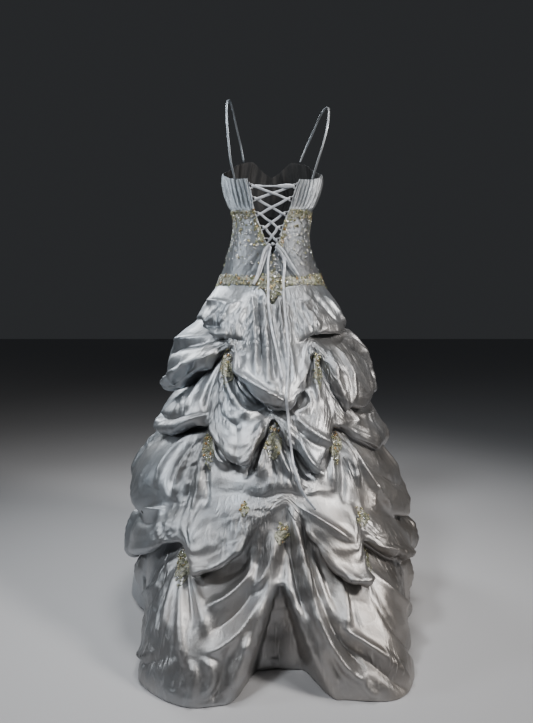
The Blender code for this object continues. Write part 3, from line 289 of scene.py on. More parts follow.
openingEdges = {
    "columns": ("height", "left", "right"),
    "rows": (
        (1.036, 0.001, 0.001), (1.064, 0.015, 0.0163), (1.102, 0.0297, 0.0251),
        (1.137, 0.0425, 0.0364), (1.166, 0.0523, 0.0492), (1.211, 0.06, 0.0616),
        (1.25, 0.0723, 0.078),
    ),
}
bodiceEdges = {
    "columns": ("angle", "top", "foot", "bandTop"),
    "rows": (
        (-180, 1.292, 0.918, 0.958), (-170, 1.306, 0.928, 0.964), (-150, 1.336, 0.943, 0.976),
        (-132, 1.326, 0.946, 0.98), (-110, 1.296, 0.947, 0.982), (-90, 1.28, 0.947, 0.982),
        (-62, 1.254, 0.947, 0.98), (-40, 1.25, 0.947, 0.974), (-20, 1.25, 0.943, 0.972),
        (-12, 1.25, 0.933, 0.976), (-6, 1.25, 0.913, 0.984), (0, 1.25, 0.892, 0.99),
        (6, 1.25, 0.913, 0.984), (12, 1.25, 0.933, 0.976), (20, 1.25, 0.943, 0.972),
        (40, 1.248, 0.947, 0.974), (62, 1.252, 0.947, 0.98), (90, 1.276, 0.947, 0.982),
        (110, 1.292, 0.947, 0.982), (132, 1.324, 0.946, 0.98), (150, 1.334, 0.943, 0.976),
        (170, 1.306, 0.928, 0.964), (180, 1.292, 0.918, 0.958),
    ),
}
skirtSections = {
    "columns": ("height", "left", "right", "back", "front", "squareness"),
    "rows": (
        (0.0, 0.428, 0.428, 0.56, 0.42, 2.8), (0.1, 0.392, 0.396, 0.53, 0.4, 2.6),
        (0.2, 0.388, 0.388, 0.495, 0.375, 2.5), (0.3, 0.386, 0.376, 0.455, 0.35, 2.3),
        (0.4, 0.374, 0.346, 0.412, 0.32, 2.2), (0.5, 0.34, 0.314, 0.368, 0.29, 2.1),
        (0.6, 0.294, 0.278, 0.322, 0.26, 2.0), (0.7, 0.262, 0.25, 0.27, 0.225, 2.0),
        (0.8, 0.262, 0.224, 0.222, 0.188, 2.0), (0.88, 0.194, 0.184, 0.168, 0.15, 2.0),
        (0.947, 0.166, 0.158, 0.13, 0.122, 2.0), (0.99, 0.15, 0.141, 0.115, 0.112, 2.0),
    ),
}
hemLine = {
    "columns": ("angle", "reach", "height"),
    "rows": (
        (-180, 0.42, 0.006), (-160, 0.44, 0.0), (-140, 0.425, 0.004), (-118, 0.455, 0.0),
        (-102, 0.425, 0.006), (-90, 0.438, 0.002), (-75, 0.414, 0.006), (-60, 0.392, 0.008),
        (-47, 0.445, 0.002), (-38, 0.535, 0.0), (-31, 0.602, 0.0), (-18.3, 0.632, 0.0),
        (-9.7, 0.6, 0.0), (1.0, 0.575, 0.002), (13.7, 0.59, 0.0), (26.5, 0.637, 0.0),
        (35.2, 0.588, 0.0), (48.0, 0.462, 0.002), (60, 0.41, 0.008), (75, 0.42, 0.004),
        (90, 0.432, 0.004), (104, 0.45, 0.0), (122, 0.425, 0.006), (140, 0.445, 0.0),
        (160, 0.425, 0.006), (180, 0.42, 0.006),
    ),
}
pickUpColumns = ("angle", "height", "puff", "tuck")
pickUpLines = (
    (
        (-180, 0.8, 0.028, 0.026), (-150, 0.83, 0.026, 0.022), (-118, 0.812, 0.028, 0.026),
        (-95, 0.848, 0.018, 0.012), (-70, 0.852, 0.022, 0.014), (-50, 0.83, 0.034, 0.03),
        (-36, 0.806, 0.034, 0.032), (-27, 0.8, 0.026, 0.03), (-21, 0.795, 0.008, 0.008),
        (-14, 0.79, 0.001, 0.0), (0, 0.78, 0.001, 0.0), (14, 0.79, 0.001, 0.0),
        (20, 0.792, 0.010, 0.010), (28, 0.806, 0.024, 0.028), (38, 0.812, 0.028, 0.03),
        (54, 0.812, 0.026, 0.024), (75, 0.828, 0.02, 0.008), (95, 0.836, 0.022, 0.01),
        (118, 0.812, 0.028, 0.026), (150, 0.83, 0.026, 0.022), (180, 0.8, 0.028, 0.026),
    ),
    (
        (-180, 0.77, 0.006, 0.016), (-150, 0.655, 0.046, 0.032), (-118, 0.785, 0.008, 0.018),
        (-98, 0.69, 0.044, 0.03), (-82, 0.636, 0.054, 0.034), (-64, 0.65, 0.054, 0.034),
        (-46, 0.705, 0.044, 0.03), (-33, 0.768, 0.02, 0.022), (-27, 0.782, 0.006, 0.014),
        (-19, 0.722, 0.018, 0.006), (-12, 0.668, 0.032, 0.02), (-5, 0.63, 0.042, 0.032),
        (2, 0.616, 0.046, 0.034), (8, 0.626, 0.042, 0.034), (14, 0.668, 0.026, 0.009),
        (20, 0.722, 0.014, 0.004), (28, 0.78, 0.004, 0.006), (33, 0.7, 0.02, 0.002),
        (39, 0.618, 0.03, 0.018), (52, 0.606, 0.044, 0.034), (70, 0.628, 0.048, 0.034),
        (86, 0.645, 0.05, 0.032), (100, 0.69, 0.044, 0.03), (118, 0.785, 0.008, 0.018),
        (150, 0.655, 0.046, 0.032), (180, 0.77, 0.006, 0.016),
    ),
    (
        (-180, 0.47, 0.046, 0.032), (-150, 0.6, 0.02, 0.022), (-122, 0.47, 0.046, 0.032),
        (-100, 0.52, 0.034, 0.016), (-84, 0.53, 0.028, 0.008), (-60, 0.548, 0.03, 0.022),
        (-42, 0.566, 0.03, 0.03), (-29, 0.574, 0.018, 0.028), (-22, 0.53, 0.03, 0.022),
        (-13, 0.486, 0.044, 0.034), (-6, 0.53, 0.03, 0.026), (0, 0.6, 0.01, 0.024),
        (6, 0.55, 0.02, 0.02), (14, 0.47, 0.034, 0.03), (20, 0.51, 0.036, 0.034),
        (29.5, 0.574, 0.018, 0.026), (42, 0.545, 0.026, 0.012), (62, 0.49, 0.034, 0.006),
        (84, 0.48, 0.034, 0.008), (100, 0.51, 0.034, 0.022), (122, 0.47, 0.046, 0.032),
        (150, 0.6, 0.02, 0.022), (180, 0.47, 0.046, 0.032),
    ),
    (
        (-180, 0.44, 0.01, 0.02), (-150, 0.3, 0.046, 0.032), (-122, 0.43, 0.01, 0.02),
        (-100, 0.34, 0.04, 0.03), (-82, 0.322, 0.04, 0.034), (-64, 0.318, 0.038, 0.022),
        (-48, 0.35, 0.012, 0.002), (-30, 0.4, 0.002, 0.0), (-12, 0.425, 0.002, 0.0),
        (-4, 0.418, 0.006, 0.010), (4.2, 0.428, 0.006, 0.016), (11, 0.42, 0.004, 0.003),
        (26, 0.4, 0.002, 0.0), (46, 0.34, 0.012, 0.004), (64, 0.296, 0.036, 0.024),
        (80, 0.288, 0.04, 0.034), (98, 0.34, 0.036, 0.03), (122, 0.43, 0.01, 0.02),
        (150, 0.3, 0.046, 0.032), (180, 0.44, 0.01, 0.02),
    ),
    (
        (-180, 0.15, 0.044, 0.028), (-150, 0.262, 0.01, 0.018), (-122, 0.15, 0.044, 0.028),
        (-98, 0.165, 0.034, 0.026), (-84, 0.16, 0.026, 0.028), (-62, 0.212, 0.03, 0.028),
        (-44, 0.262, 0.034, 0.028), (-30, 0.302, 0.02, 0.026), (-21, 0.252, 0.038, 0.032),
        (-12, 0.29, 0.03, 0.018), (-4, 0.365, 0.01, 0.008), (4.2, 0.402, 0.002, 0.01),
        (11, 0.33, 0.012, 0.004), (18, 0.262, 0.026, 0.02), (25, 0.22, 0.036, 0.032),
        (29.5, 0.302, 0.016, 0.024), (40, 0.25, 0.03, 0.016), (62, 0.19, 0.022, 0.004),
        (84, 0.175, 0.024, 0.022), (104, 0.175, 0.034, 0.026), (122, 0.15, 0.044, 0.028),
        (150, 0.262, 0.01, 0.018), (180, 0.15, 0.044, 0.028),
    ),
)
puffSection = {
    "columns": ("along", "fall", "out", "softOut", "tuck"),
    "rows": (
        (0.0, 0.0, 0.0, 0.0, 1.0), (0.1, 0.08, 0.12, 0.2, 0.8),
        (0.24, 0.22, 0.42, 0.5, 0.4), (0.42, 0.42, 0.76, 0.85, 0.1),
        (0.6, 0.63, 0.98, 1.0, 0.0), (0.76, 0.82, 1.0, 0.8, 0.0),
        (0.89, 0.95, 0.86, 0.42, 0.0), (1.0, 1.0, 0.52, 0.06, 0.0),
    ),
}
# long folds as marked on two enlarged parts of the camera's 533 x 723 frame: across and
# down at one end, a middle point and the other end, then width and rise in millimetres
foldMarks = {
    "enlargement": 1568 / 300,
    "left": 120,
    "perMetre": 1000,
    "firstDepth": -0.25,
    "rounds": 12,
    "step": 0.4,
    "sideMost": 0.985,
    "middleEnds": (0.25, 0.75),
    "parts": (
        {
            "top": 290,
            "lines": (
                (470, 190, 545, 140, 615, 85, 10, 12), (450, 150, 500, 180, 560, 190, 9, -8),
                (490, 62, 545, 66, 600, 82, 9, 10), (560, 180, 590, 130, 640, 60, 10, 9),
                (690, 40, 702, 240, 720, 440, 9, 10), (745, 50, 762, 250, 776, 470, 9, 8),
                (720, 40, 733, 250, 745, 420, 9, -9), (775, 120, 790, 300, 800, 450, 9, -9),
                (830, 60, 845, 200, 865, 420, 9, 8), (872, 80, 880, 280, 892, 470, 8, 9),
                (930, 60, 960, 120, 1010, 200, 12, 7), (1050, 40, 1090, 110, 1150, 190, 12, 8),
                (1000, 30, 1040, 90, 1090, 160, 9, -6), (580, 225, 450, 245, 300, 265, 14, 12),
                (500, 262, 400, 282, 310, 330, 16, -14), (505, 325, 410, 400, 305, 500, 12, 16),
                (470, 340, 420, 430, 340, 495, 9, -10), (495, 330, 440, 470, 385, 640, 10, 12),
                (520, 360, 480, 520, 470, 640, 9, -12), (360, 500, 380, 560, 365, 630, 9, 12),
                (578, 250, 660, 440, 850, 575, 10, 20), (572, 330, 585, 520, 660, 640, 9, 14),
                (600, 330, 640, 520, 850, 615, 10, -14), (560, 300, 545, 440, 560, 600, 8, 10),
                (600, 350, 610, 480, 690, 600, 8, 10), (640, 640, 700, 640, 765, 618, 9, 12),
                (540, 640, 600, 680, 640, 700, 9, -8), (1010, 290, 950, 390, 905, 500, 9, 12),
                (1015, 300, 980, 420, 960, 520, 9, -10), (1020, 300, 1000, 430, 1010, 560, 9, 12),
                (1060, 330, 1050, 450, 1100, 560, 9, -10), (1075, 330, 1100, 480, 1180, 640, 10, 14),
                (1115, 300, 1150, 420, 1165, 590, 9, 10), (1120, 250, 1220, 280, 1330, 375, 12, 14),
                (1170, 300, 1240, 400, 1270, 520, 12, -12), (1150, 280, 1230, 330, 1300, 400, 8, 8),
                (1330, 390, 1300, 520, 1225, 650, 12, 12), (1185, 620, 1200, 660, 1215, 690, 9, 10),
                (900, 530, 975, 540, 985, 580, 10, 10), (985, 580, 950, 625, 850, 632, 10, 10),
                (895, 650, 960, 720, 1080, 800, 11, 14), (900, 690, 950, 760, 1050, 800, 9, -8),
                (925, 760, 960, 870, 1050, 965, 10, 14), (900, 780, 930, 900, 1000, 990, 10, -10),
                (1125, 700, 1100, 790, 1075, 870, 9, 10), (1120, 760, 1100, 900, 1105, 1040, 10, 10),
                (215, 678, 330, 705, 475, 640, 11, 16), (240, 640, 300, 665, 370, 650, 9, -8),
                (405, 750, 270, 850, 215, 1000, 12, 14), (380, 790, 310, 880, 270, 1050, 12, -12),
                (400, 800, 340, 900, 290, 1080, 9, 12), (415, 830, 380, 950, 340, 1120, 9, -8),
                (430, 850, 420, 980, 390, 1130, 9, 10), (440, 900, 450, 1000, 450, 1120, 9, -8),
                (480, 770, 500, 870, 555, 930, 9, 14), (490, 700, 525, 840, 575, 930, 9, 12),
                (735, 690, 700, 800, 645, 920, 9, 12), (785, 750, 745, 850, 715, 960, 9, 11),
                (800, 760, 830, 860, 880, 960, 9, 11), (790, 770, 790, 870, 795, 960, 9, -8),
                (740, 780, 690, 900, 650, 980, 9, -8), (870, 650, 890, 850, 945, 1060, 9, 8),
                (1180, 740, 1260, 770, 1320, 810, 10, 12), (1185, 780, 1260, 960, 1385, 1130, 11, 18),
                (1200, 770, 1310, 900, 1430, 1010, 22, -16), (1160, 800, 1200, 900, 1225, 1010, 9, 12),
                (1145, 820, 1160, 960, 1160, 1100, 9, -8), (1340, 700, 1385, 830, 1440, 960, 12, 10),
                (1300, 1030, 1305, 1100, 1310, 1150, 9, 10), (50, 970, 130, 860, 200, 700, 14, 10),
                (100, 1130, 170, 1160, 240, 1150, 10, 12),
            ),
        },
        {
            "top": 490,
            "lines": (
                (75, 85, 140, 120, 245, 98, 10, 10),
                (110, 130, 160, 160, 215, 150, 9, -8), (90, 310, 200, 290, 300, 290, 11, 12),
                (120, 500, 170, 520, 210, 470, 9, 10), (110, 450, 130, 500, 150, 540, 9, -8),
                (240, 440, 205, 540, 180, 600, 10, -10), (300, 350, 260, 380, 235, 400, 9, 10),
                (290, 420, 265, 560, 250, 700, 10, 14), (310, 450, 310, 650, 330, 900, 11, 14),
                (325, 400, 345, 560, 370, 720, 9, -14), (345, 480, 400, 600, 440, 740, 11, 12),
                (330, 430, 380, 460, 425, 500, 9, 8), (365, 350, 375, 400, 390, 412, 9, 12),
                (390, 412, 500, 370, 640, 250, 12, 18), (420, 430, 540, 440, 660, 360, 22, -18),
                (440, 620, 560, 560, 690, 410, 12, 14), (470, 740, 600, 640, 700, 500, 18, -12),
                (440, 860, 600, 760, 720, 560, 16, 10), (800, 240, 770, 400, 700, 520, 10, 14),
                (740, 260, 720, 360, 695, 450, 9, -10), (905, 110, 940, 330, 1000, 600, 12, 24),
                (1000, 600, 1060, 760, 1230, 980, 14, 24), (925, 110, 985, 380, 1070, 640, 10, -18),
                (1070, 640, 1140, 780, 1260, 930, 12, -14), (880, 240, 900, 420, 960, 650, 10, -14),
                (970, 200, 1060, 330, 1170, 440, 12, 12), (930, 90, 1060, 170, 1170, 250, 10, 8),
                (1000, 220, 1060, 420, 1130, 620, 16, -12), (1160, 450, 1180, 580, 1170, 740, 11, 14),
                (1220, 440, 1210, 560, 1230, 720, 10, -8), (1280, 245, 1360, 290, 1480, 300, 11, 14),
                (1240, 320, 1300, 380, 1290, 400, 9, 12), (1290, 400, 1230, 450, 1170, 440, 9, 14),
                (1300, 420, 1370, 520, 1480, 690, 12, 14), (1280, 470, 1330, 600, 1420, 800, 11, -10),
                (1420, 900, 1460, 950, 1500, 1000, 12, 12), (1380, 310, 1440, 370, 1520, 330, 10, -8),
                (150, 790, 200, 760, 230, 790, 10, 8), (150, 870, 230, 830, 300, 850, 10, -6),
                (440, 880, 470, 980, 430, 1080, 12, 12), (650, 760, 620, 900, 560, 1060, 12, 12),
                (560, 820, 540, 940, 470, 1100, 10, -8), (370, 900, 380, 1000, 350, 1110, 10, 10),
                (200, 900, 180, 1000, 200, 1080, 10, 8), (1060, 800, 1080, 900, 1130, 1010, 10, 10),
                (1240, 960, 1270, 1020, 1320, 1070, 10, 10),
            ),
        },
    ),
}
# long folds set on the skirt: angle and height of each end, sideways sag, width and rise
placedFolds = (
    (-15.5, 0.590, -13.6, 0.475, 0.007, 0.024, -0.006),
    (2.5, 0.337, -8.6, 0.060, 0.003, 0.012, 0.008), (3.9, 0.329, 1.8, 0.240, 0.003, 0.01, -0.010),
    (17.3, 0.140, 30.5, 0.025, 0.010, 0.010, 0.013), (17.0, 0.112, 28.5, 0.012, 0.004, 0.015, -0.012),
    (-82.0, 0.3, -74.0, 0.08, 0.0, 0.028, 0.016), (82.0, 0.27, 74.0, 0.06, 0.0, 0.028, 0.016),
    (119.0, 0.78, 130.0, 0.66, 0.0, 0.02, 0.012), (117.0, 0.78, 104.0, 0.68, 0.0, 0.02, 0.012),
    (-119.0, 0.78, -130.0, 0.66, 0.0, 0.02, 0.012), (-117.0, 0.78, -104.0, 0.68, 0.0, 0.02, 0.012),
    (178.0, 0.78, 164.0, 0.66, 0.0, 0.02, 0.012), (-178.0, 0.78, -164.0, 0.66, 0.0, 0.02, 0.012),
    (150.0, 0.6, 138.0, 0.48, 0.0, 0.022, 0.014), (150.0, 0.6, 162.0, 0.48, 0.0, 0.022, 0.014),
    (-150.0, 0.6, -138.0, 0.48, 0.0, 0.022, 0.014), (-150.0, 0.6, -162.0, 0.48, 0.0, 0.022, 0.014),
    (122.0, 0.42, 118.0, 0.18, 0.0, 0.026, 0.016), (-122.0, 0.42, -118.0, 0.18, 0.0, 0.026, 0.016),
    (180.0, 0.42, 178.0, 0.18, 0.0, 0.026, 0.016), (150.0, 0.25, 146.0, 0.03, 0.0, 0.03, 0.016),
    (-150.0, 0.25, -146.0, 0.03, 0.0, 0.03, 0.016), (118.0, 0.16, 120.0, 0.02, 0.0, 0.03, 0.014),
    (-118.0, 0.16, -120.0, 0.02, 0.0, 0.03, 0.014),
)


clothLook = {
    "cool": (0.39, 0.44, 0.49, 1.0),
    "warm": (0.41, 0.38, 0.355, 1.0),
    "metallic": 0.90,
    "roughLow": 0.28,
    "roughHigh": 0.50,
    "crinkleScale": 85.0,
    "crinkleDepth": 0.0034,
    "smoothTone": 1.0,
    # how dark the painted shade in the crinkles' hollows is, and how pale the painted highlight on their
    # crests
    "hollowPaintedShade": 0.40,
    "crestPaintedHighlight": 0.45,
    "crinkleDull": 0.04,
    "fineScale": 210.0,
    "fineDepth": 0.0006,
    "threadScale": 900.0,
    "threadDepth": 0.00006,
    # the painted shade's slope: the cloth warms and greys lower down and to the right
    "paintedShadeDown": -0.55,
    "patchScale": 7.0,
    "patchShare": 1.5,
    "toneEnds": (0.55, 1.85),
    "crinkleStretch": (1.0, 0.34, 1.0),
    "crinkleEnds": (0.10, 0.75),
    "glossEnds": (0.3, 0.7),
}


class Painter:
    # adds and joins shader nodes, left to right; a feed is a value or a node and its output
    def __init__(self, name):
        self.material = bpy.data.materials.new(name)
        self.material.use_nodes = True
        self.tree = self.material.node_tree
        self.shader = self.tree.nodes["Principled BSDF"]

    def feed(self, target, entry, value):
        if isinstance(value, tuple) and isinstance(value[0], bpy.types.Node):
            self.tree.links.new(value[0].outputs[value[1]], target.inputs[entry])
        else:
            target.inputs[entry].default_value = value

    def add(self, kind, feeds=(), **settings):
        node = self.tree.nodes.new("ShaderNode" + kind)
        for key, value in settings.items():
            if key in node.inputs:
                node.inputs[key].default_value = value
            else:
                setattr(node, key, value)
        for entry, value in feeds:
            self.feed(node, entry, value)
        return node

    def setShader(self, **values):
        for key, value in values.items():
            self.feed(self.shader, key.replace("_", " "), value)

    def mapped(self, coordinate, scale=(1.0, 1.0, 1.0)):
        source = self.add("TexCoord")
        return self.add("Mapping", [("Vector", (source, coordinate)), ("Scale", scale)])

    def texture(self, kind, place, **settings):
        return self.add("Tex" + kind, [("Vector", (place, "Vector"))], **settings)

    def multiplied(self, value, factor, more):
        return self.add("Math", enumerate((value, factor, more)), operation="MULTIPLY_ADD")

    def ranged(self, value, low, high, newLow=0.0, newHigh=1.0):
        names = ("Value", "From Min", "From Max", "To Min", "To Max")
        return self.add("MapRange", zip(names, (value, low, high, newLow, newHigh)))

    def blended(self, value, low, high, first, second):
        # from the first colour to the second while the value goes from low to high
        share = (self.ranged(value, low, high), "Result")
        feeds = (("A", first), ("B", second), ("Factor", share))
        return self.add("Mix", feeds, data_type="RGBA")

    def bump(self, value, depth, strength, below=None):
        feeds = [("Height", value), ("Distance", depth), ("Strength", strength)]
        if below:
            feeds.append(("Normal", (below, "Normal")))
        return self.add("Bump", feeds)


def makeCloth(name, look):
    paint = Painter(name)
    # painted light and shade: the cloth is cooler and brighter silver at the upper left, towards the key
    # lamp, and warmer and greyer to the lower right, away from it; uneven patches of tone lie over that
    place = paint.mapped("Object")
    split = paint.add("SeparateXYZ", [("Vector", (place, "Vector"))])
    slope = paint.multiplied((split, "Z"), look["paintedShadeDown"], (split, "X"))
    patches = paint.texture("Noise", place, Scale=look["patchScale"], Detail=4.0, Roughness=0.6)
    patchesAndPaintedShade = paint.multiplied((patches, "Fac"), look["patchShare"], (slope, "Value"))
    tone = paint.blended((patchesAndPaintedShade, "Value"), *look["toneEnds"], look["cool"], look["warm"])
    # crinkles follow the cloth: painted highlight on their crests and painted shade in their hollows, and
    # a duller gloss than smooth cloth
    cloth = paint.mapped("UV", look["crinkleStretch"])
    share = paint.add("Attribute", attribute_name="crinkle")
    crinkle = paint.texture(
        "Noise",
        cloth,
        noise_type="RIDGED_MULTIFRACTAL",
        Scale=look["crinkleScale"],
        Detail=3.0,
        Roughness=0.55,
        Distortion=0.35,
    )
    ends = look["crinkleEnds"]
    paintedCrestAndHollow = paint.ranged((crinkle, "Fac"), *ends, -look["hollowPaintedShade"], look["crestPaintedHighlight"])
    shade = paint.multiplied((paintedCrestAndHollow, "Result"), (share, "Fac"), look["smoothTone"])
    feeds = (("Vector", (tone, "Result")), ("Scale", (shade, "Value")))
    shaded = paint.add("VectorMath", feeds, operation="SCALE")
    flat = paint.mapped("UV")
    fine = paint.texture(
        "Noise", flat, Scale=look["fineScale"], Detail=5.0, Roughness=0.7, Distortion=0.6
    )
    thread = paint.texture("Wave", flat, Scale=look["threadScale"], Distortion=0.4)
    threadBump = paint.bump((thread, "Fac"), look["threadDepth"], 0.5)
    fineBump = paint.bump((fine, "Fac"), look["fineDepth"], 0.6, threadBump)
    crinkleBump = paint.bump((crinkle, "Fac"), look["crinkleDepth"], (share, "Fac"), fineBump)
    gloss = paint.ranged((fine, "Fac"), *look["glossEnds"], look["roughLow"], look["roughHigh"])
    dull = paint.multiplied((share, "Fac"), look["crinkleDull"], (gloss, "Result"))
    paint.setShader(
        Base_Color=(shaded, "Vector"),
        Normal=(crinkleBump, "Normal"),
        Roughness=(dull, "Value"),
        Metallic=look["metallic"],
    )
    return paint.material


taffeta = makeCloth("crinkledTaffeta", clothLook)
bodiceTaffeta = makeCloth(
    "bodiceTaffeta", dict(clothLook, metallic=0.80, crinkleScale=110.0, crinkleDepth=0.0024)
)

# the inside walls of the skirt and bodice: near-black cloth, painted shade for the dark inside of the
# gown
paintedShadeInside = makeCloth(
    "paintedShadeInside",
    dict(
        clothLook, cool=(0.009, 0.0095, 0.011, 1.0), warm=(0.012, 0.011, 0.010, 1.0), metallic=0.0,
        crinkleDepth=0.0010, roughLow=0.55, roughHigh=0.75,
    ),
)

ribbonLook = {
    "colour": (0.55, 0.57, 0.60, 1.0),
    "shade": (0.38, 0.40, 0.44, 1.0),
    "ribs": 700.0,
    "ribDepth": 0.00008,
    "creaseScale": 60.0,
    "creaseDepth": 0.0006,
}


def makeRibbon(name, look):
    paint = Painter(name)
    along = paint.mapped("UV")
    ribs = paint.texture("Wave", along, bands_direction="Y", Scale=look["ribs"])
    # painted shade: this noise is the crease bump's height, and the ribbon is painted darker towards its
    # shade colour where it is low, in the crease hollows
    creaseAndShade = paint.texture("Noise", along, Scale=look["creaseScale"], Detail=3.0)
    tone = paint.blended((creaseAndShade, "Fac"), 0.35, 0.6, look["shade"], look["colour"])
    ribBump = paint.bump((ribs, "Fac"), look["ribDepth"], 0.6)
    creaseBump = paint.bump((creaseAndShade, "Fac"), look["creaseDepth"], 0.4, ribBump)
    normal = (creaseBump, "Normal")
    paint.setShader(Base_Color=(tone, "Result"), Normal=normal, Metallic=0.3, Roughness=0.36)
    return paint.material


satin = makeRibbon("satinRibbon", ribbonLook)
cordMatter = makeRibbon("loopCord", dict(ribbonLook, colour=(0.74, 0.75, 0.76, 1.0), ribs=400.0))

laceLook = {
    "net": (0.13, 0.135, 0.10, 1.0),
    "thread": (0.33, 0.33, 0.26, 1.0),
    "meshScale": 420.0,
    "meshDepth": 0.0004,
    "vineScale": 110.0,
    "vineDepth": 0.0012,
    "mottleScale": 260.0,
    "mottleDark": 0.55,
    "beads": {
        "gold": ((0.46, 0.42, 0.24, 1.0), 0.85, 0.25),
        "olive": ((0.30, 0.31, 0.17, 1.0), 0.55, 0.30),
        "silver": ((0.76, 0.78, 0.80, 1.0), 0.90, 0.18),
        "pearl": ((0.82, 0.81, 0.76, 1.0), 0.10, 0.25),
        "amber": ((0.50, 0.30, 0.12, 1.0), 0.45, 0.25),
    },
}


def makeLace(name, look):
    paint = Painter(name)
    place = paint.mapped("Object")
    net = paint.texture("Voronoi", place, feature="DISTANCE_TO_EDGE", Scale=look["meshScale"])
    vines = paint.texture("Noise", place, Scale=look["vineScale"], Detail=3.0, Distortion=1.2)
    tone = paint.blended((vines, "Fac"), 0.42, 0.58, look["net"], look["thread"])
    netBump = paint.bump((net, "Distance"), look["meshDepth"], 0.7)
    vineBump = paint.bump((vines, "Fac"), look["vineDepth"], 0.7, netBump)
    normal = (vineBump, "Normal")
    paint.setShader(Base_Color=(tone, "Result"), Normal=normal, Metallic=0.35, Roughness=0.45)
    return paint.material


def makeBead(name, colour, metallic, roughness):
    paint = Painter(name)
    place = paint.mapped("Object")
    mottle = paint.texture("Noise", place, Scale=laceLook["mottleScale"], Detail=1.0)
    dark = tuple(laceLook["mottleDark"] * part for part in colour[:3]) + (1.0,)
    tone = paint.blended((mottle, "Fac"), 0.35, 0.55, dark, colour)
    paint.setShader(Base_Color=(tone, "Result"), Metallic=metallic, Roughness=roughness)
    return paint.material


laceNet = makeLace("beadLaceNet", laceLook)
beadMatters = [
    makeBead(name + "Bead", *values) for name, values in laceLook["beads"].items()
]
print("materials made")

# the skirt: rows of cloth from the bodice to the hem, each tier puffed out and tucked under
skirtLook = {
    "hemBlendHeight": 0.27,
    "hemBlendPower": 1.1,
    "recess": {
        "apex": 0.235,
        "angle": 2.0,
        "halfAngle": 9.5,
        "leastHalfAngle": 0.1,
        "widthShares": (0.06, 0.94),
        "rim": (1.25, 0.5),
        "depth": 0.125,
        "run": 0.16,
    },
    "fullDrop": 0.10,
    "leastTuck": 0.18,
    "leastTier": 0.018,
    "crispTuck": 0.026,
    "tuckLift": 0.55,
    "tierRows": (26, 34, 34, 30, 30, 40),
    "backColumns": 142,
    "frontColumns": 60,
    "wall": 0.0012,
    "easeRounds": 10,
    "easeLean": 0.80,
    "easeSpan": 0.3,
    "easeShare": 0.6,
    "softRounds": 16,
    "softShare": 0.5,
    "softRows": (6, 9),
    "softTuckRows": 4,
    "lastEaseRounds": 5,
    "lastEaseLean": 0.82,
    "foldScale": 1.35,
    "tuckCalm": 0.85,
}

# gathers fan out from each pick-up: angle, height, reach of the fan, rise, folds all round, turn
gatherFans = (
    (-27.5, 0.800, 0.130, 0.0045, 15, 0.3), (28.0, 0.806, 0.130, 0.0045, 15, 1.1),
    (1.0, 0.606, 0.120, 0.0042, 14, 0.6), (-28.5, 0.576, 0.130, 0.0045, 15, 2.0),
    (29.5, 0.576, 0.130, 0.0045, 15, 0.9), (4.2, 0.404, 0.110, 0.0040, 13, 1.7),
    (-30.0, 0.302, 0.130, 0.0045, 15, 0.2), (29.5, 0.302, 0.120, 0.0045, 14, 2.4),
    (-64.0, 0.640, 0.120, 0.0060, 12, 0.5), (64.0, 0.620, 0.120, 0.0060, 12, 1.5),
    (-72.0, 0.320, 0.120, 0.0065, 13, 1.3), (72.0, 0.300, 0.120, 0.0065, 13, 0.7),
    (-118.0, 0.790, 0.120, 0.0075, 14, 0.4), (118.0, 0.790, 0.120, 0.0075, 14, 1.9),
    (180.0, 0.775, 0.120, 0.0070, 14, 1.2), (-150.0, 0.602, 0.120, 0.0075, 14, 0.8),
    (150.0, 0.602, 0.120, 0.0075, 14, 2.2), (-122.0, 0.434, 0.120, 0.0075, 14, 1.0),
    (122.0, 0.434, 0.120, 0.0075, 14, 0.1), (180.0, 0.444, 0.120, 0.0070, 14, 1.6),
    (-150.0, 0.266, 0.110, 0.0070, 13, 0.9), (150.0, 0.266, 0.110, 0.0070, 13, 2.1),
)


def skirtReach(angle, height):
    sizes = [readTable(skirtSections, name, height) for name in skirtSections["columns"][1:]]
    plain = ovalReach(angle, *sizes)
    blendHeight = skirtLook["hemBlendHeight"]
    share = np.clip((blendHeight - height) / blendHeight, 0, 1) ** skirtLook["hemBlendPower"]
    reach = plain + share * (readRound(hemLine, "reach", angle) - plain)
    recess = skirtLook["recess"]
    below = np.clip(recess["apex"] - height, 0, recess["apex"])
    least, more = recess["widthShares"]
    half = recess["halfAngle"] * (least + more * below / recess["apex"])
    half = np.maximum(half, recess["leastHalfAngle"])
    start, rim = recess["rim"]
    inside = np.clip(start - np.abs((np.asarray(angle) - recess["angle"]) / half), 0, rim) / rim
    sink = np.clip(below / recess["run"], 0, 1)
    depth = recess["depth"] * sink * (2 - sink)
    return reach - depth * inside**2 * (3 - 2 * inside)


def seenPlaces(across, down):
    # the angle, height and reach of the skirt where the camera sees it through these pixels
    tilt = math.radians(90 - cameraSettings["tiltDegrees"])
    focus = cameraSettings["focus"]
    middle, level = cameraSettings["middle"]
    deep = np.full(across.shape, foldMarks["firstDepth"])
    for _ in range(foldMarks["rounds"]):
        ahead = deep - cameraSettings["away"]
        sink = ahead * np.tan(tilt + np.arctan((down - level) / focus))
        run = ahead * np.cos(tilt) + sink * np.sin(tilt)
        side = (across - middle) * run / focus
        height = np.clip(cameraSettings["height"] - sink, 0, 1)
        angle = np.degrees(np.arctan2(side, -deep))
        reach = skirtReach(angle, height)
        # a line past the gown's side lies where the cloth turns away
        past = np.abs(np.sin(np.radians(angle))) * reach < np.abs(side)
        most = np.minimum(np.abs(side) / np.maximum(reach, np.abs(side)), foldMarks["sideMost"])
        angle = np.where(past, np.degrees(np.arcsin(most)) * np.sign(side), angle)
        step = foldMarks["step"]
        deep = (1 - step) * deep - step * reach * np.cos(np.radians(angle))
    return np.degrees(np.arctan2(side, -deep)), height, reach


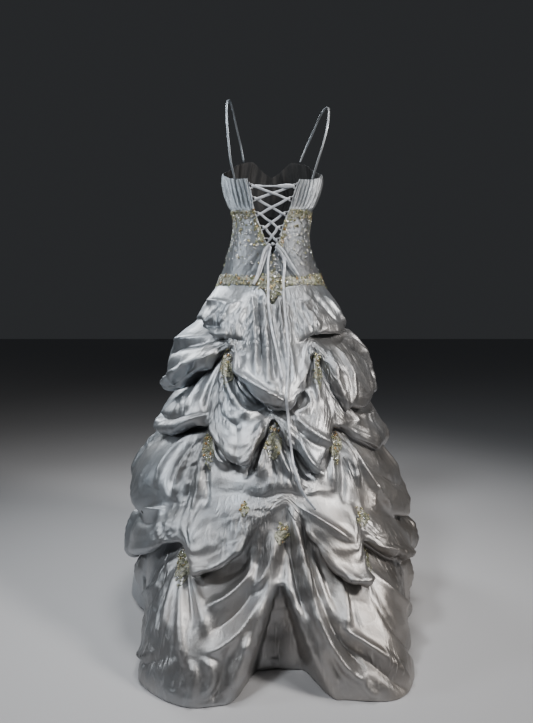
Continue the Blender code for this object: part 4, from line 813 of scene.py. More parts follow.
def markedFolds(part):
    # each marked line as a row of placedFolds, to a tenth of a degree and a millimetre
    lines = np.array(part["lines"], float)
    across = foldMarks["left"] + lines[:, 0:6:2] / foldMarks["enlargement"]
    down = part["top"] + lines[:, 1:6:2] / foldMarks["enlargement"]
    angle, height, reach = seenPlaces(across, down)
    _, beside, run = (np.radians(angle - angle[:, :1]) * reach[:, 1:2]).T
    _, below, drop = (height[:, :1] - height).T
    length = np.hypot(run, drop)
    along = np.clip((beside * run + below * drop) / length**2, *foldMarks["middleEnds"])
    sag = (beside * drop - below * run) / length / (4 * along * (1 - along))
    ends = [angle[:, 0].round(1), height[:, 0].round(3), angle[:, 2].round(1), height[:, 2].round(3)]
    return np.stack(ends + [sag.round(3), *lines[:, 6:].T / foldMarks["perMetre"]], axis=1)


foldForm = {"endSlope": 4, "endStart": 0.35, "crest": 0.45, "foot": 0.6, "footFall": 1.9}


def longFoldRise(folds, angle, height, reach):
    total = np.zeros_like(reach)
    for angleA, heightA, angleB, heightB, sag, width, rise in folds:
        off = (angle - angleA + 180) % 360 - 180
        across = np.radians(off) * reach
        fall = heightA - height
        run = np.radians((angleB - angleA + 180) % 360 - 180) * reach
        drop = heightA - heightB
        length = np.hypot(run, drop)
        along = (across * run + fall * drop) / length**2
        inside = np.clip(along, 0, 1)
        beside = (across * drop - fall * run) / length - 4 * sag * inside * (1 - inside)
        past = (along - inside) * length
        slope, start = foldForm["endSlope"], foldForm["endStart"]
        ends = np.clip(along * slope + start, 0, 1) * np.clip((1 - along) * slope + start, 0, 1)
        away = np.hypot(beside, past) / width
        # a pinched crest with a soft foot
        foot = foldForm["foot"] * np.exp(-foldForm["footFall"] * away)
        total += rise * ends * (foldForm["crest"] * np.exp(-away**2) + foot)
    return total


fanForm = {
    "farthest": 2.2,
    "bendCells": 14,
    "bendTurn": 7,
    "bend": 0.16,
    "strengthCells": 1.6,
    "strengthEnds": (0.35, 1.1),
    "middle": 0.35,
    "sharpness": 1.6,
    "level": 0.4,
}


def gatherRise(angle, height, reach):
    total = np.zeros_like(reach)
    for angleAt, heightAt, size, rise, folds, turn in gatherFans:
        across = np.radians((angle - angleAt + 180) % 360 - 180) * reach
        fall = heightAt - height
        away = np.hypot(across, fall)
        near = away < size * fanForm["farthest"]
        if not near.any():
            continue
        x, y, r = across[near], fall[near], away[near]
        bearing = np.arctan2(x, y)
        cells = fanForm["bendCells"]
        bend = noiseOver(3, x * cells + turn * fanForm["bendTurn"], y * cells, turn)
        turnShare = (bearing / (2 * math.pi) + fanForm["bend"] * (bend - 0.5)) * folds + turn
        wave = np.abs(2 * (turnShare - np.floor(turnShare)) - 1)
        strength = noiseOver(7, bearing * fanForm["strengthCells"], turn, 0.0)
        least, more = fanForm["strengthEnds"]
        share = np.clip(r / (fanForm["middle"] * size), 0, 1) * np.exp(-((r / size) ** 2))
        crest = wave ** fanForm["sharpness"] - fanForm["level"]
        total[near] += rise * share * (least + more * strength) * crest
    return total


def skirtRows(angles, tierRows):
    # every row of the skirt from the bodice to the hem, with how far each lies in a tuck
    foot = readRound(bodiceEdges, "foot", angles)
    tables = [{"columns": pickUpColumns, "rows": rows} for rows in pickUpLines]
    lines = [foot] + [readRound(table, "height", angles) for table in tables]
    lines.append(readRound(hemLine, "height", angles))
    for place in range(1, len(lines) - 1):
        lines[place] = np.minimum(lines[place], lines[place - 1] - skirtLook["leastTier"])
    points, tucks = [], []
    for tier, count in enumerate(tierRows):
        along = np.linspace(0, 1, count + 1)[(1 if tier else 0):][:, None]
        drop = (lines[tier] - lines[tier + 1])[None, :]
        fullness = np.clip(drop / skirtLook["fullDrop"], 0, 1)
        crispTuck = skirtLook["crispTuck"]
        if tier < len(tables):
            puff = readRound(tables[tier], "puff", angles) * fullness
            fall = readTable(puffSection, "fall", along)
            crisp = np.clip(readRound(tables[tier], "tuck", angles) / crispTuck, 0, 1)
            out = crisp * readTable(puffSection, "out", along)
            out = out + (1 - crisp) * readTable(puffSection, "softOut", along)
        else:
            puff, fall, out = 0.0, along, 0.0
        tuckAbove, left = 0.0, 0.0
        if tier > 0:
            room = np.clip(drop / skirtLook["fullDrop"], skirtLook["leastTuck"], 1)
            tuckAbove = readRound(tables[tier - 1], "tuck", angles) * room
            left = readTable(puffSection, "tuck", along)
        height = lines[tier] - drop * fall + tuckAbove * left * skirtLook["tuckLift"]
        turn = np.broadcast_to(angles[None, :], height.shape)
        base = skirtReach(turn, height)
        calm = 1 - left * np.clip(tuckAbove / crispTuck, 0, 1)
        reach = base + puff * out - tuckAbove * left
        reach = reach + gatherRise(turn, height, base) * calm
        bearing = np.radians(turn)
        spot = (reach * np.sin(bearing), -reach * np.cos(bearing), height)
        points.append(np.stack(spot, axis=-1))
        tucks.append(np.broadcast_to(1 - calm, height.shape))
    return np.concatenate(points), np.concatenate(tucks)


def softenLines(ring, tucks, tierRows, rounds):
    # where the cloth isn't tucked, one tier runs on into the next without a line
    above, below = skirtLook["softRows"]
    for _ in range(rounds):
        row = 0
        for count in tierRows[:-1]:
            row += count
            first, last = row - above, row + below
            tucked = tucks[row : row + skirtLook["softTuckRows"]].max(axis=0)
            share = skirtLook["softShare"] * (1 - tucked)[None, :, None]
            middle = (ring[first - 1 : last - 1] + ring[first + 1 : last + 1]) / 2
            ring[first:last] += share * (middle - ring[first:last])
    return ring


def easeFolds(ring, rounds, leastLean):
    # opens the sharpest folds a little, so that the cloth keeps clear of itself
    for _ in range(rounds):
        wide = wrapped(ring)
        faces = faceWays(wide)
        corners = (faces[:-1, :-1], faces[1:, :-1], faces[:-1, 1:], faces[1:, 1:])
        out = unit(sum(corners))
        lean = np.min([(corner * out).sum(axis=-1) for corner in corners], axis=0)
        tight = np.clip((leastLean - lean) / skirtLook["easeSpan"], 0, 1)[..., None]
        tight = tight * skirtLook["easeShare"]
        middle = (wide[:-2, 1:-1] + wide[2:, 1:-1] + wide[1:-1, :-2] + wide[1:-1, 2:]) / 4
        ring[1:-1] += tight * (middle - ring[1:-1])
    return ring


def doubled(ring):
    # twice the rows and columns, on curves through the old ones
    for axis in (1, 0):
        if axis:
            before, after = np.roll(ring, 1, axis=1), np.roll(ring, -1, axis=1)
            last = np.roll(ring, -2, axis=1)
            middle = (9 * (ring + after) - before - last) / 16
            both = np.stack([ring, middle], axis=2)
            ring = both.reshape(ring.shape[0], -1, ring.shape[2])
        else:
            padded = np.concatenate([ring[:1], ring, ring[-1:]])
            middle = (9 * (ring[:-1] + ring[1:]) - padded[:-3] - padded[3:]) / 16
            both = np.empty((2 * len(ring) - 1,) + ring.shape[1:])
            both[0::2], both[1::2] = ring, middle
            ring = both
    return ring


# where the cloth is finely crinkled: angle, height, and reach across and down
crinklePatches = (
    (-29.0, 0.72, 0.040, 0.110), (33.0, 0.70, 0.060, 0.095), (60.0, 0.76, 0.050, 0.050),
    (38.0, 0.89, 0.090, 0.060), (-48.0, 0.86, 0.060, 0.050), (-4.0, 0.82, 0.070, 0.110),
    (0.0, 0.52, 0.045, 0.075), (-33.0, 0.49, 0.060, 0.095), (33.0, 0.50, 0.045, 0.095),
    (60.0, 0.50, 0.040, 0.080), (-36.0, 0.17, 0.065, 0.120), (-48.0, 0.09, 0.060, 0.060),
    (-4.0, 0.33, 0.040, 0.070), (46.0, 0.20, 0.080, 0.110), (-24.0, 0.06, 0.110, 0.050),
    (30.0, 0.06, 0.110, 0.050), (9.0, 0.26, 0.030, 0.120), (-12.0, 0.34, 0.070, 0.050),
    (150.0, 0.52, 0.060, 0.100), (-150.0, 0.52, 0.060, 0.100), (180.0, 0.70, 0.060, 0.100),
    (122.0, 0.34, 0.060, 0.110), (-122.0, 0.34, 0.060, 0.110), (180.0, 0.34, 0.060, 0.110),
    (118.0, 0.72, 0.060, 0.090), (-118.0, 0.72, 0.060, 0.090), (150.0, 0.14, 0.070, 0.120),
    (-150.0, 0.14, 0.070, 0.120), (-78.0, 0.50, 0.050, 0.090), (84.0, 0.20, 0.060, 0.100),
    (2.0, 0.08, 0.035, 0.070), (-30.0, 0.10, 0.080, 0.060), (50.0, 0.13, 0.070, 0.090),
)


def crinkled(grid, normals, calm, look):
    # foil-like creases: fine ones down the hanging stretches, a few flat crumples elsewhere
    angle = np.degrees(np.arctan2(grid[..., 0], -grid[..., 1]))
    reach = np.hypot(grid[..., 0], grid[..., 1])
    patches = look["ground"] * valueNoise(grid * np.array(look["groundCells"]), 21)
    for angleAt, heightAt, acrossAt, downAt in crinklePatches:
        across = np.radians((angle - angleAt + 180) % 360 - 180) * reach / acrossAt
        down = (grid[..., 2] - heightAt) / downAt
        patches += look["patchRise"] * np.exp(-(across**2) - down**2)
    warp = (valueNoise(grid * look["warpCells"], 5) - 0.5)[..., None] * look["warp"]
    total = np.zeros(grid.shape[:2])
    for size, stretch, depth, low, high, seed in look["kinds"]:
        spot = grid / size * np.array((1.0, 1.0, 1.0 / stretch)) + warp
        share = np.clip((patches - low) / (high - low), 0, 1)
        total += depth * share * (creaseNoise(spot, seed) ** look["sharpness"] - look["level"])
    # this share also sets how strongly the material paints crest highlights and hollow shade, as well as
    # its crinkle bump
    patchShare = np.clip((patches - look["paintLow"]) / look["paintRun"], 0, 1)
    share = look["paintLeast"] + look["paintMore"] * patchShare
    return grid + normals * (total * (1 - skirtLook["tuckCalm"] * calm))[..., None], share


# each kind: size, stretch down the cloth, depth, the patches that it fades in over, and its seed
clothCreases = {
    "kinds": (
        (0.100, 2.4, 0.0028, -0.20, 0.20, 31), (0.030, 3.0, 0.0044, 0.32, 0.80, 37),
        (0.015, 2.6, 0.0024, 0.32, 0.80, 41), (0.036, 1.1, 0.0034, 0.40, 0.85, 47),
    ),
    "sharpness": 1.5,
    "level": 0.35,
    "ground": 0.42,
    "groundCells": (14.0, 14.0, 7.0),
    "patchRise": 0.6,
    "warpCells": 22.0,
    "warp": 1.1,
    "paintLow": 0.32,
    "paintRun": 0.40,
    "paintLeast": 0.16,
    "paintMore": 0.84,
}

backAngles = np.linspace(-90, 90, skirtLook["backColumns"] + 1)
frontAngles = np.linspace(90, 270, skirtLook["frontColumns"] + 1)[1:-1]
ringAngles = np.concatenate([backAngles, frontAngles])
skirtRing, tuckShare = skirtRows(ringAngles, skirtLook["tierRows"])
skirtRing = easeFolds(skirtRing, skirtLook["easeRounds"], skirtLook["easeLean"])
softenLines(skirtRing, tuckShare, skirtLook["tierRows"], skirtLook["softRounds"])
print("skirt shaped", skirtRing.shape)
skirtRing = doubled(skirtRing)
tuckShare = doubled(tuckShare[..., None])[..., 0]
bearing = np.degrees(np.arctan2(skirtRing[..., 0], -skirtRing[..., 1]))
ringReach = np.hypot(skirtRing[..., 0], skirtRing[..., 1])
longFolds = np.concatenate([markedFolds(part) for part in foldMarks["parts"]] + [placedFolds])
foldRise = longFoldRise(longFolds, bearing, skirtRing[..., 2], ringReach)
foldRise *= skirtLook["foldScale"] * np.clip(1 - tuckShare, 0, 1)
foldRise[:2] = 0.0
skirtRing = skirtRing + ringNormals(skirtRing) * foldRise[..., None]
creased, crinkleShare = crinkled(skirtRing, ringNormals(skirtRing), tuckShare, clothCreases)
skirtRing[1:-1] = creased[1:-1]
skirtRing = easeFolds(skirtRing, skirtLook["lastEaseRounds"], skirtLook["lastEaseLean"])
print("skirt creased")
skirtRing[..., 2] -= shoulderHeight
skirtOut = ringNormals(skirtRing)

# the back and the front, each in three lengths that meet inside the tucks
seamColumn = 2 * skirtLook["backColumns"]
lengthEnds = [0, 2 * sum(skirtLook["tierRows"][:2]), 2 * sum(skirtLook["tierRows"][:4]), None]
backRing, backOut = skirtRing[:, : seamColumn + 1], skirtOut[:, : seamColumn + 1]
frontRing = np.concatenate([skirtRing[:, seamColumn:], skirtRing[:, :1]], axis=1)
frontOut = np.concatenate([skirtOut[:, seamColumn:], skirtOut[:, :1]], axis=1)
backShare = crinkleShare[:, : seamColumn + 1]
frontShare = np.concatenate([crinkleShare[:, seamColumn:], crinkleShare[:, :1]], axis=1)
skirtPieces = []
for word, grid, out, share in (
    ("Back", backRing, backOut, backShare), ("Front", frontRing, frontOut, frontShare)
):
    for place, length in enumerate(("Upper", "Middle", "Lower")):
        last = lengthEnds[place + 1]
        rows = slice(lengthEnds[place], None if last is None else last + 1)
        piece = gridMesh(
            "skirt" + word + length,
            grid[rows],
            taffeta,
            out[rows],
            skirtLook["wall"],
            paintedShadeInside,
            share[rows],
        )
        node = "skirt_" + word.lower() + "_" + length.lower()
        skirtPieces.append(settle(piece, "taffeta", node))
print("skirt built")

# the bodice: smooth panels below the bust and gathered ones over it, each side of the lacing
bodiceLook = {
    "underbust": 1.166,
    "wall": 0.0012,
    "torsoRows": 66,
    "backColumns": 48,
    "frontColumns": 80,
    "bustRows": 30,
    "backPleats": 8,
    "frontPleats": 12,
    "pleatColumns": 11,
    "pleatRise": 0.0095,
    "bustStand": 0.0006,
    "bustSunk": 0.0032,
    "seamGap": 0.0003,
    "creaseRise": 0.0017,
    "creaseCells": (70.0, 70.0, 26.0),
    "fineRise": 0.0004,
    "fineCells": (150.0, 150.0, 90.0),
    "creaseLevel": 0.3,
    "pleatDrift": 0.9,
    "pleatFoot": 0.10,
    "edgeRounds": 4,
}

# folds that pull towards the knot and the side seams: one end, the other, sag, width, rise
bodiceFolds = (
    (-14.0, 1.062, -40.0, 1.010, 0.0, 0.006, 0.0022), (-18.0, 1.050, -34.0, 0.985, 0.0, 0.005, -0.0022),
    (15.0, 1.062, 42.0, 1.020, 0.0, 0.006, 0.0022), (20.0, 1.050, 36.0, 0.985, 0.0, 0.005, -0.0022),
    (-60.0, 1.130, -38.0, 1.080, 0.0, 0.007, 0.0016), (62.0, 1.120, 36.0, 1.075, 0.0, 0.007, 0.0016),
    (-80.0, 1.060, -48.0, 1.040, 0.0, 0.007, 0.0014), (78.0, 1.070, 46.0, 1.040, 0.0, 0.007, -0.0014),
    (-30.0, 1.040, -52.0, 0.995, 0.0, 0.006, -0.0016), (30.0, 1.050, 58.0, 1.000, 0.0, 0.006, 0.0016),
    (-9.0, 1.030, -10.0, 0.930, 0.0, 0.005, -0.0020), (13.0, 1.030, 14.0, 0.930, 0.0, 0.005, -0.0020),
    (110.0, 1.100, 150.0, 1.050, 0.0, 0.008, 0.0016), (-112.0, 1.090, -148.0, 1.040, 0.0, 0.008, -0.0016),
    (165.0, 1.120, 180.0, 1.000, 0.0, 0.007, 0.0012), (-165.0, 1.080, -178.0, 0.980, 0.0, 0.007, -0.0012),
)


def bodicePoint(angle, height):
    sizes = [readTable(bodiceSections, name, height) for name in bodiceSections["columns"][1:]]
    reach = ovalReach(angle, *sizes, 2.0)
    turn = np.radians(angle)
    return np.stack([reach * np.sin(turn), -reach * np.cos(turn), height], axis=-1)


def openingAt(height, side):
    # how far the lacing edge stands off the middle
    half = bodiceLook["seamGap"] / 2
    openHere = readTable(openingEdges, "left" if side < 0 else "right", height)
    return np.where(height < openingEdges["rows"][0][0], half, np.maximum(openHere, half))


def edgeAngle(height, side):
    across = openingAt(height, side)
    half = readTable(bodiceSections, "left" if side < 0 else "right", height)
    deep = readTable(bodiceSections, "back", height)
    return side * np.degrees(np.arctan2(across, deep * np.sqrt(1 - (across / half) ** 2)))


def torsoHeights(angle, share):
    foot = readRound(bodiceEdges, "foot", angle)
    return bodiceLook["underbust"] + (foot - bodiceLook["underbust"]) * share


def bustHeights(angle, share):
    top = readRound(bodiceEdges, "top", angle)
    return top + (bodiceLook["underbust"] + bodiceLook["seamGap"] - top) * share


def backPanel(side, columns, rows, heightsAt):
    steps = np.linspace(0, 1, columns + 1)[:: 1 if side < 0 else -1]
    share = np.linspace(0, 1, rows + 1)[:, None]
    angles = np.tile(side * 90.0 * (1 - steps), (rows + 1, 1))
    for _ in range(bodiceLook["edgeRounds"]):
        heights = heightsAt(angles, share)
        angles = side * 90.0 + steps * (edgeAngle(heights, side) - side * 90.0)
    return bodicePoint(angles, heights), angles, share + 0 * angles


def frontPanel(columns, rows, heightsAt):
    angles = np.tile(np.linspace(90, 270, columns + 1), (rows + 1, 1))
    share = np.linspace(0, 1, rows + 1)[:, None]
    return bodicePoint(angles, heightsAt(angles, share)), angles, share + 0 * angles


def levelNormals(grid):
    out = gridNormals(grid)
    out[..., 2] = 0
    return unit(out)


def torsoShape(grid, angles, share):
    # a boned panel: nearly smooth, with fine creases and the pull of the lacing
    reach = np.linalg.norm(grid[..., :2], axis=-1)
    rise = longFoldRise(bodiceFolds, angles, grid[..., 2], reach)
    crease = creaseNoise(grid * np.array(bodiceLook["creaseCells"]), 51) ** 1.6
    fine = creaseNoise(grid * np.array(bodiceLook["fineCells"]), 57) ** 1.4
    level = bodiceLook["creaseLevel"]
    rise += bodiceLook["creaseRise"] * (crease - level) + bodiceLook["fineRise"] * (fine - level)
    return grid + levelNormals(grid) * rise[..., None]


pleatForm = {
    "driftCells": (5, 1.6),
    "sharpness": 0.62,
    "smallCount": 2.3,
    "smallTurn": 0.7,
    "smallSharpness": 1.3,
    "eachCells": 0.8,
    "eachShares": (0.62, 0.5),
    "heldShares": (0.42, 0.58),
    "heldPower": 0.7,
    "shares": (0.78, 0.22),
}


def bustShape(grid, angles, share, pleats, seed):
    # uneven gathers, crisp in the middle and held flat by the seams above and below
    columns = grid.shape[1] - 1
    along = np.linspace(0, 1, columns + 1)[None, :] + 0 * share
    cellsAcross, cellsDown = pleatForm["driftCells"]
    drift = noiseOver(61, along * cellsAcross, share * cellsDown, seed) - 0.5
    phase = pleats * along + bodiceLook["pleatDrift"] * drift
    large = np.abs(np.sin(math.pi * phase)) ** pleatForm["sharpness"]
    smallPhase = pleatForm["smallCount"] * phase + pleatForm["smallTurn"] * seed
    small = np.abs(np.sin(math.pi * smallPhase)) ** pleatForm["smallSharpness"]
    each = noiseOver(67 + seed, np.floor(phase) + 0.5, share * pleatForm["eachCells"], 0.0)
    least, more = pleatForm["heldShares"]
    held = least + more * np.sin(math.pi * np.clip(share, 0, 1)) ** pleatForm["heldPower"]
    least, more = pleatForm["eachShares"]
    largeShare, smallShare = pleatForm["shares"]
    wave = largeShare * large + smallShare * small
    rise = bodiceLook["pleatRise"] * (least + more * each) * held * wave
    # the pleats sink into the seam below, over the panel's upper edge
    rise = rise * np.clip((1 - share) / bodiceLook["pleatFoot"], 0.1, 1)
    shift = rise + bodiceLook["bustStand"] - bodiceLook["bustSunk"]
    return grid + levelNormals(grid) * shift[..., None]


def bodicePanel(name, node, grid):
    grid[..., 2] -= shoulderHeight
    out = levelNormals(grid)
    piece = gridMesh(name, grid, bodiceTaffeta, out, bodiceLook["wall"], paintedShadeInside)
    return settle(piece, "taffeta", node)


bodicePieces = []
for word, side in (("Left", -1), ("Right", 1)):
    node = "_back_" + word.lower()
    shape = backPanel(side, bodiceLook["backColumns"], bodiceLook["torsoRows"], torsoHeights)
    bodicePieces.append(bodicePanel("torsoBack" + word, "torso" + node, torsoShape(*shape)))
    pleats = bodiceLook["backPleats"]
    shape = backPanel(side, pleats * bodiceLook["pleatColumns"], bodiceLook["bustRows"], bustHeights)
    grid = bustShape(*shape, pleats, 2 + side)
    bodicePieces.append(bodicePanel("bustBack" + word, "bust" + node, grid))
shape = frontPanel(bodiceLook["frontColumns"], bodiceLook["torsoRows"], torsoHeights)
bodicePieces.append(bodicePanel("torsoFront", "torso_front", torsoShape(*shape)))
pleats = bodiceLook["frontPleats"]
shape = frontPanel(pleats * bodiceLook["pleatColumns"], bodiceLook["bustRows"], bustHeights)
bodicePieces.append(bodicePanel("bustFront", "bust_front", bustShape(*shape, pleats, 5)))
print("bodice built")


def curveThrough(points, samples):
    # evenly spaced points of a smooth curve through the given ones
    points = np.asarray(points, float)
    spans = np.linalg.norm(np.diff(points, axis=0), axis=1)
    place = np.concatenate([[0], np.cumsum(spans)])
    fine = np.linspace(0, place[-1], samples)
    ways = np.diff(points, axis=0) / spans[:, None]
    before, after = spans[:-1, None], spans[1:, None]
    bends = (ways[:-1] * after + ways[1:] * before) / (before + after)
    tangents = np.vstack([ways[:1], bends, ways[-1:]])
    at = np.clip(np.searchsorted(place, fine) - 1, 0, len(spans) - 1)
    t = ((fine - place[at]) / spans[at])[:, None]
    a, b, span = points[at], points[at + 1], spans[at][:, None]
    return (
        a * (1 + 2 * t) * (1 - t) ** 2
        + b * t * t * (3 - 2 * t)
        + span * tangents[at] * t * (1 - t) ** 2
        - span * tangents[at + 1] * t * t * (1 - t)
    )


def sweptMesh(name, path, across, sizes, material, corners=10, squareness=3.0):
    # a band or cord along a path, closed at both ends, its UV map in metres of cloth
    path = np.asarray(path, float)
    count = len(path)
    along = unit(np.gradient(path, axis=0))
    across = np.broadcast_to(np.asarray(across, float), path.shape)
    across = unit(across - along * (across * along).sum(axis=1, keepdims=True))
    thick = np.cross(across, along)
    turn = (np.arange(corners) + 0.5) * 2 * math.pi / corners
    flat = (np.abs(np.cos(turn)) ** squareness + np.abs(np.sin(turn)) ** squareness) ** (
        -1 / squareness
    )
    sizes = np.broadcast_to(np.asarray(sizes, float), (count, 2))
    rings = path[:, None] + (
        across[:, None] * (np.cos(turn) * flat)[None, :, None] * sizes[:, None, :1] / 2
        + thick[:, None] * (np.sin(turn) * flat)[None, :, None] * sizes[:, None, 1:] / 2
    )
    index = np.arange(count * corners).reshape(count, corners)
    after = np.roll(index, -1, axis=1)
    quads = np.stack([index[:-1], after[:-1], after[1:], index[1:]], axis=-1).reshape(-1, 4)
    faces = quads.tolist() + [index[0][::-1].tolist(), index[-1].tolist()]
    run = np.concatenate([[0], np.cumsum(np.linalg.norm(np.diff(path, axis=0), axis=1))])
    mesh = bpy.data.meshes.new(name)
    mesh.from_pydata(rings.reshape(-1, 3).tolist(), [], faces)
    mesh.materials.append(material)
    spread = np.stack(
        [np.tile(np.cos(turn), count) * sizes[:, 0].repeat(corners) / 2, run.repeat(corners)], axis=-1
    )
    loops = np.concatenate([np.asarray(face) for face in faces])
    layer = mesh.uv_layers.new(name="cloth")
    layer.data.foreach_set("uv", spread[loops].astype(np.float32).ravel())
    mesh.polygons.foreach_set("use_smooth", [True] * len(quads) + [False] * 2)
    sculpt = bmesh.new()
    sculpt.from_mesh(mesh)
    bmesh.ops.recalc_face_normals(sculpt, faces=sculpt.faces)
    sculpt.to_mesh(mesh)
    sculpt.free()
    return placed(name, mesh)


def cordMesh(name, path, across, width, material):
    return sweptMesh(name, path, across, (width, width), material, corners=8, squareness=2.0)


def ribbonMesh(name, path, across, width, thickness):
    sizes = bandSizes(width, thickness)
    return sweptMesh(name, path, across, sizes, satin, corners=8, squareness=5.0)


def bandSizes(width, thickness):
    return np.stack(np.broadcast_arrays(width, thickness), axis=-1)


# shoulder straps: narrow tubes of the same cloth, from the back edge to the front edge
strapLook = {
    "width": 0.0060,
    "thickness": 0.0026,
    "centreHeight": 1.36,
    "sideLean": 0.2,
    "waver": 24,
    "widthWaver": 0.06,
    "thicknessWaver": 0.10,
    "samples": 90,
    "left": (
        (-0.1080, -0.0700, 1.2515), (-0.1170, -0.0820, 1.2900), (-0.1240, -0.0880, 1.3500),
        (-0.1290, -0.0830, 1.4150), (-0.1300, -0.0620, 1.4600), (-0.1280, -0.0300, 1.4830),
        (-0.1240, 0.0050, 1.4890), (-0.1180, 0.0400, 1.4740), (-0.1080, 0.0780, 1.4300),
        (-0.0960, 0.1040, 1.3800), (-0.0880, 0.1128, 1.3375),
    ),
    "right": (
        (0.1145, -0.0690, 1.2495), (0.1270, -0.0800, 1.2900), (0.1440, -0.0860, 1.3450),
        (0.1570, -0.0820, 1.4000), (0.1620, -0.0620, 1.4400), (0.1620, -0.0300, 1.4620),
        (0.1570, 0.0050, 1.4690), (0.1450, 0.0400, 1.4570), (0.1250, 0.0780, 1.4160),
        (0.1040, 0.1040, 1.3720), (0.0880, 0.1130, 1.3360),
    ),
}
for word in ("left", "right"):
    path = curveThrough(strapLook[word], strapLook["samples"])
    out = path - np.array((0.0, 0.0, strapLook["centreHeight"]))
    out[:, 0] *= strapLook["sideLean"]
    across = np.cross(np.gradient(path, axis=0), out)
    waver = np.linspace(0, strapLook["waver"], len(path))
    sizes = bandSizes(
        strapLook["width"] * (1 + strapLook["widthWaver"] * np.sin(waver)),
        strapLook["thickness"] * (1 + strapLook["thicknessWaver"] * np.sin(1.7 * waver + 1)),
    )
    path[:, 2] -= shoulderHeight
    piece = sweptMesh(
        "strap" + word.title(), path, across, sizes, bodiceTaffeta, corners=12, squareness=2.4
    )
    settle(piece, "taffeta", "strap_" + word)

# loops of cord down each lacing edge, and the ribbon laced through them
lacingLook = {
    "loopHeights": (1.229, 1.193, 1.151, 1.112, 1.076),
    "loopReach": 0.0085,
    "loopHalf": 0.0056,
    "loopEndHalf": 0.0052,
    "clearance": 0.0035,
    "cordPast": 0.011,
    "cordStand": 0.0027,
    "cordWidth": 0.0020,
    "loopSamples": 170,
    "crossingLift": 0.0013,
    "wrapLift": 0.0019,
    "wrapPast": 0.0032,
    "wrapRun": 0.006,
    "wrapShare": 0.3,
    "crossingShares": (0.28, 0.5, 0.72),
    "topLifts": (0.0016, 0.0, -0.0016),
    "ribbonWidth": 0.0075,
    "ribbonThickness": 0.0008,
    "waver": 31,
    "widthShares": (0.93, 0.07),
    "topPlaces": (-1.0, -0.6, -0.1, 0.35, 0.7, 1.0),
    "topWidths": (0.0, -0.4, -0.35, 0.75, 0.6, 0.0),
    "topShare": 0.062,
    "wall": 0.0012,
}


def edgePoint(height, side, stand):
    across = side * (float(openingAt(height, side)) - stand)
    half = float(readTable(bodiceSections, "left" if side < 0 else "right", height))
    deep = float(readTable(bodiceSections, "back", height))
    behind = -deep * math.sqrt(1 - (across / half) ** 2)
    return np.array((across, behind + lacingLook["wall"] / 2, height))


def loopTip(place, side):
    tip = edgePoint(lacingLook["loopHeights"][place], side, 0.0)
    reach = min(lacingLook["loopReach"], abs(tip[0]) - lacingLook["clearance"])
    return tip - np.array((side * reach, 0.0, 0.0))


for word, side in (("Left", -1), ("Right", 1)):
    heights = lacingLook["loopHeights"]
    stand = lacingLook["cordStand"]
    route = [edgePoint(heights[0] + lacingLook["cordPast"], side, stand)]
    for place, height in enumerate(heights):
        tip = loopTip(place, side)
        rise = np.array((0.0, 0.0, lacingLook["loopEndHalf"]))
        route.append(edgePoint(height + lacingLook["loopHalf"], side, stand))
        route.extend([tip + rise, tip - rise])
        route.append(edgePoint(height - lacingLook["loopHalf"], side, stand))
    route.append(edgePoint(heights[-1] - lacingLook["cordPast"], side, stand))
    path = curveThrough(route, lacingLook["loopSamples"])
    path[:, 2] -= shoulderHeight
    piece = cordMesh("lacingLoops" + word, path, (0.0, 1.0, 0.0), lacingLook["cordWidth"], cordMatter)
    settle(piece, "corded_loop", "lacing_loops_" + word.lower())


def lacingRoute():
    # up from the knot, across at the top, and down again to the knot
    count = len(lacingLook["loopHeights"])
    forth = [(place, -1 if place % 2 == 0 else 1) for place in range(count)]
    stops = forth[::-1] + [(place, -side) for place, side in forth]
    lift, past = lacingLook["wrapLift"], lacingLook["wrapPast"]
    route = []
    for number, (place, side) in enumerate(stops):
        tip = loopTip(place, side)
        run = min(lacingLook["wrapRun"], abs(tip[0]) * lacingLook["wrapShare"])
        if number > 0:
            route.append(tip + (side * -run, -lift, 0))
            route.append(tip + (side * past * 0.5, -lift, 0))
            route.append(tip + (side * past, 0, 0))
        if number < len(stops) - 1:
            route.append(tip + (side * past * 0.5, lift, 0))
            route.append(tip + (side * -run, lift, 0))
            after = loopTip(*stops[number + 1])
            sign = -1 if number < count else 1
            lifts = [sign * lacingLook["crossingLift"]] * 3
            if place == 0 and stops[number + 1][0] == 0:
                lifts = lacingLook["topLifts"]
            for share, off in zip(lacingLook["crossingShares"], lifts):
                route.append(tip + (after - tip) * share + (0, off, 0))
    return np.array(route)


route = lacingRoute()
fineRoute = []
for start, end in zip(route[:-1], route[1:]):
    fineRoute.extend(start + (end - start) * share for share in (0.0, 0.34, 0.67))
fineRoute.append(route[-1])
path = np.array(fineRoute)
for _ in range(2):
    path[1:-1] = 0.25 * path[:-2] + 0.5 * path[1:-1] + 0.25 * path[2:]
path[:, 2] -= shoulderHeight
waver = np.sin(np.linspace(0, lacingLook["waver"], len(path)))
# the span across the top is twisted thin at its left and lies open, leaf-shaped, at its right
along = np.linspace(-1, 1, len(path)) / lacingLook["topShare"]
topSpan = np.interp(along, lacingLook["topPlaces"], lacingLook["topWidths"])
least, more = lacingLook["widthShares"]
width = lacingLook["ribbonWidth"] * (least + more * waver + topSpan)
thickness = lacingLook["ribbonThickness"]
piece = ribbonMesh("lacingRibbon", path, (0.0, 0.0, 1.0), width, thickness)
settle(piece, "satin_ribbon", "lacing_ribbon")

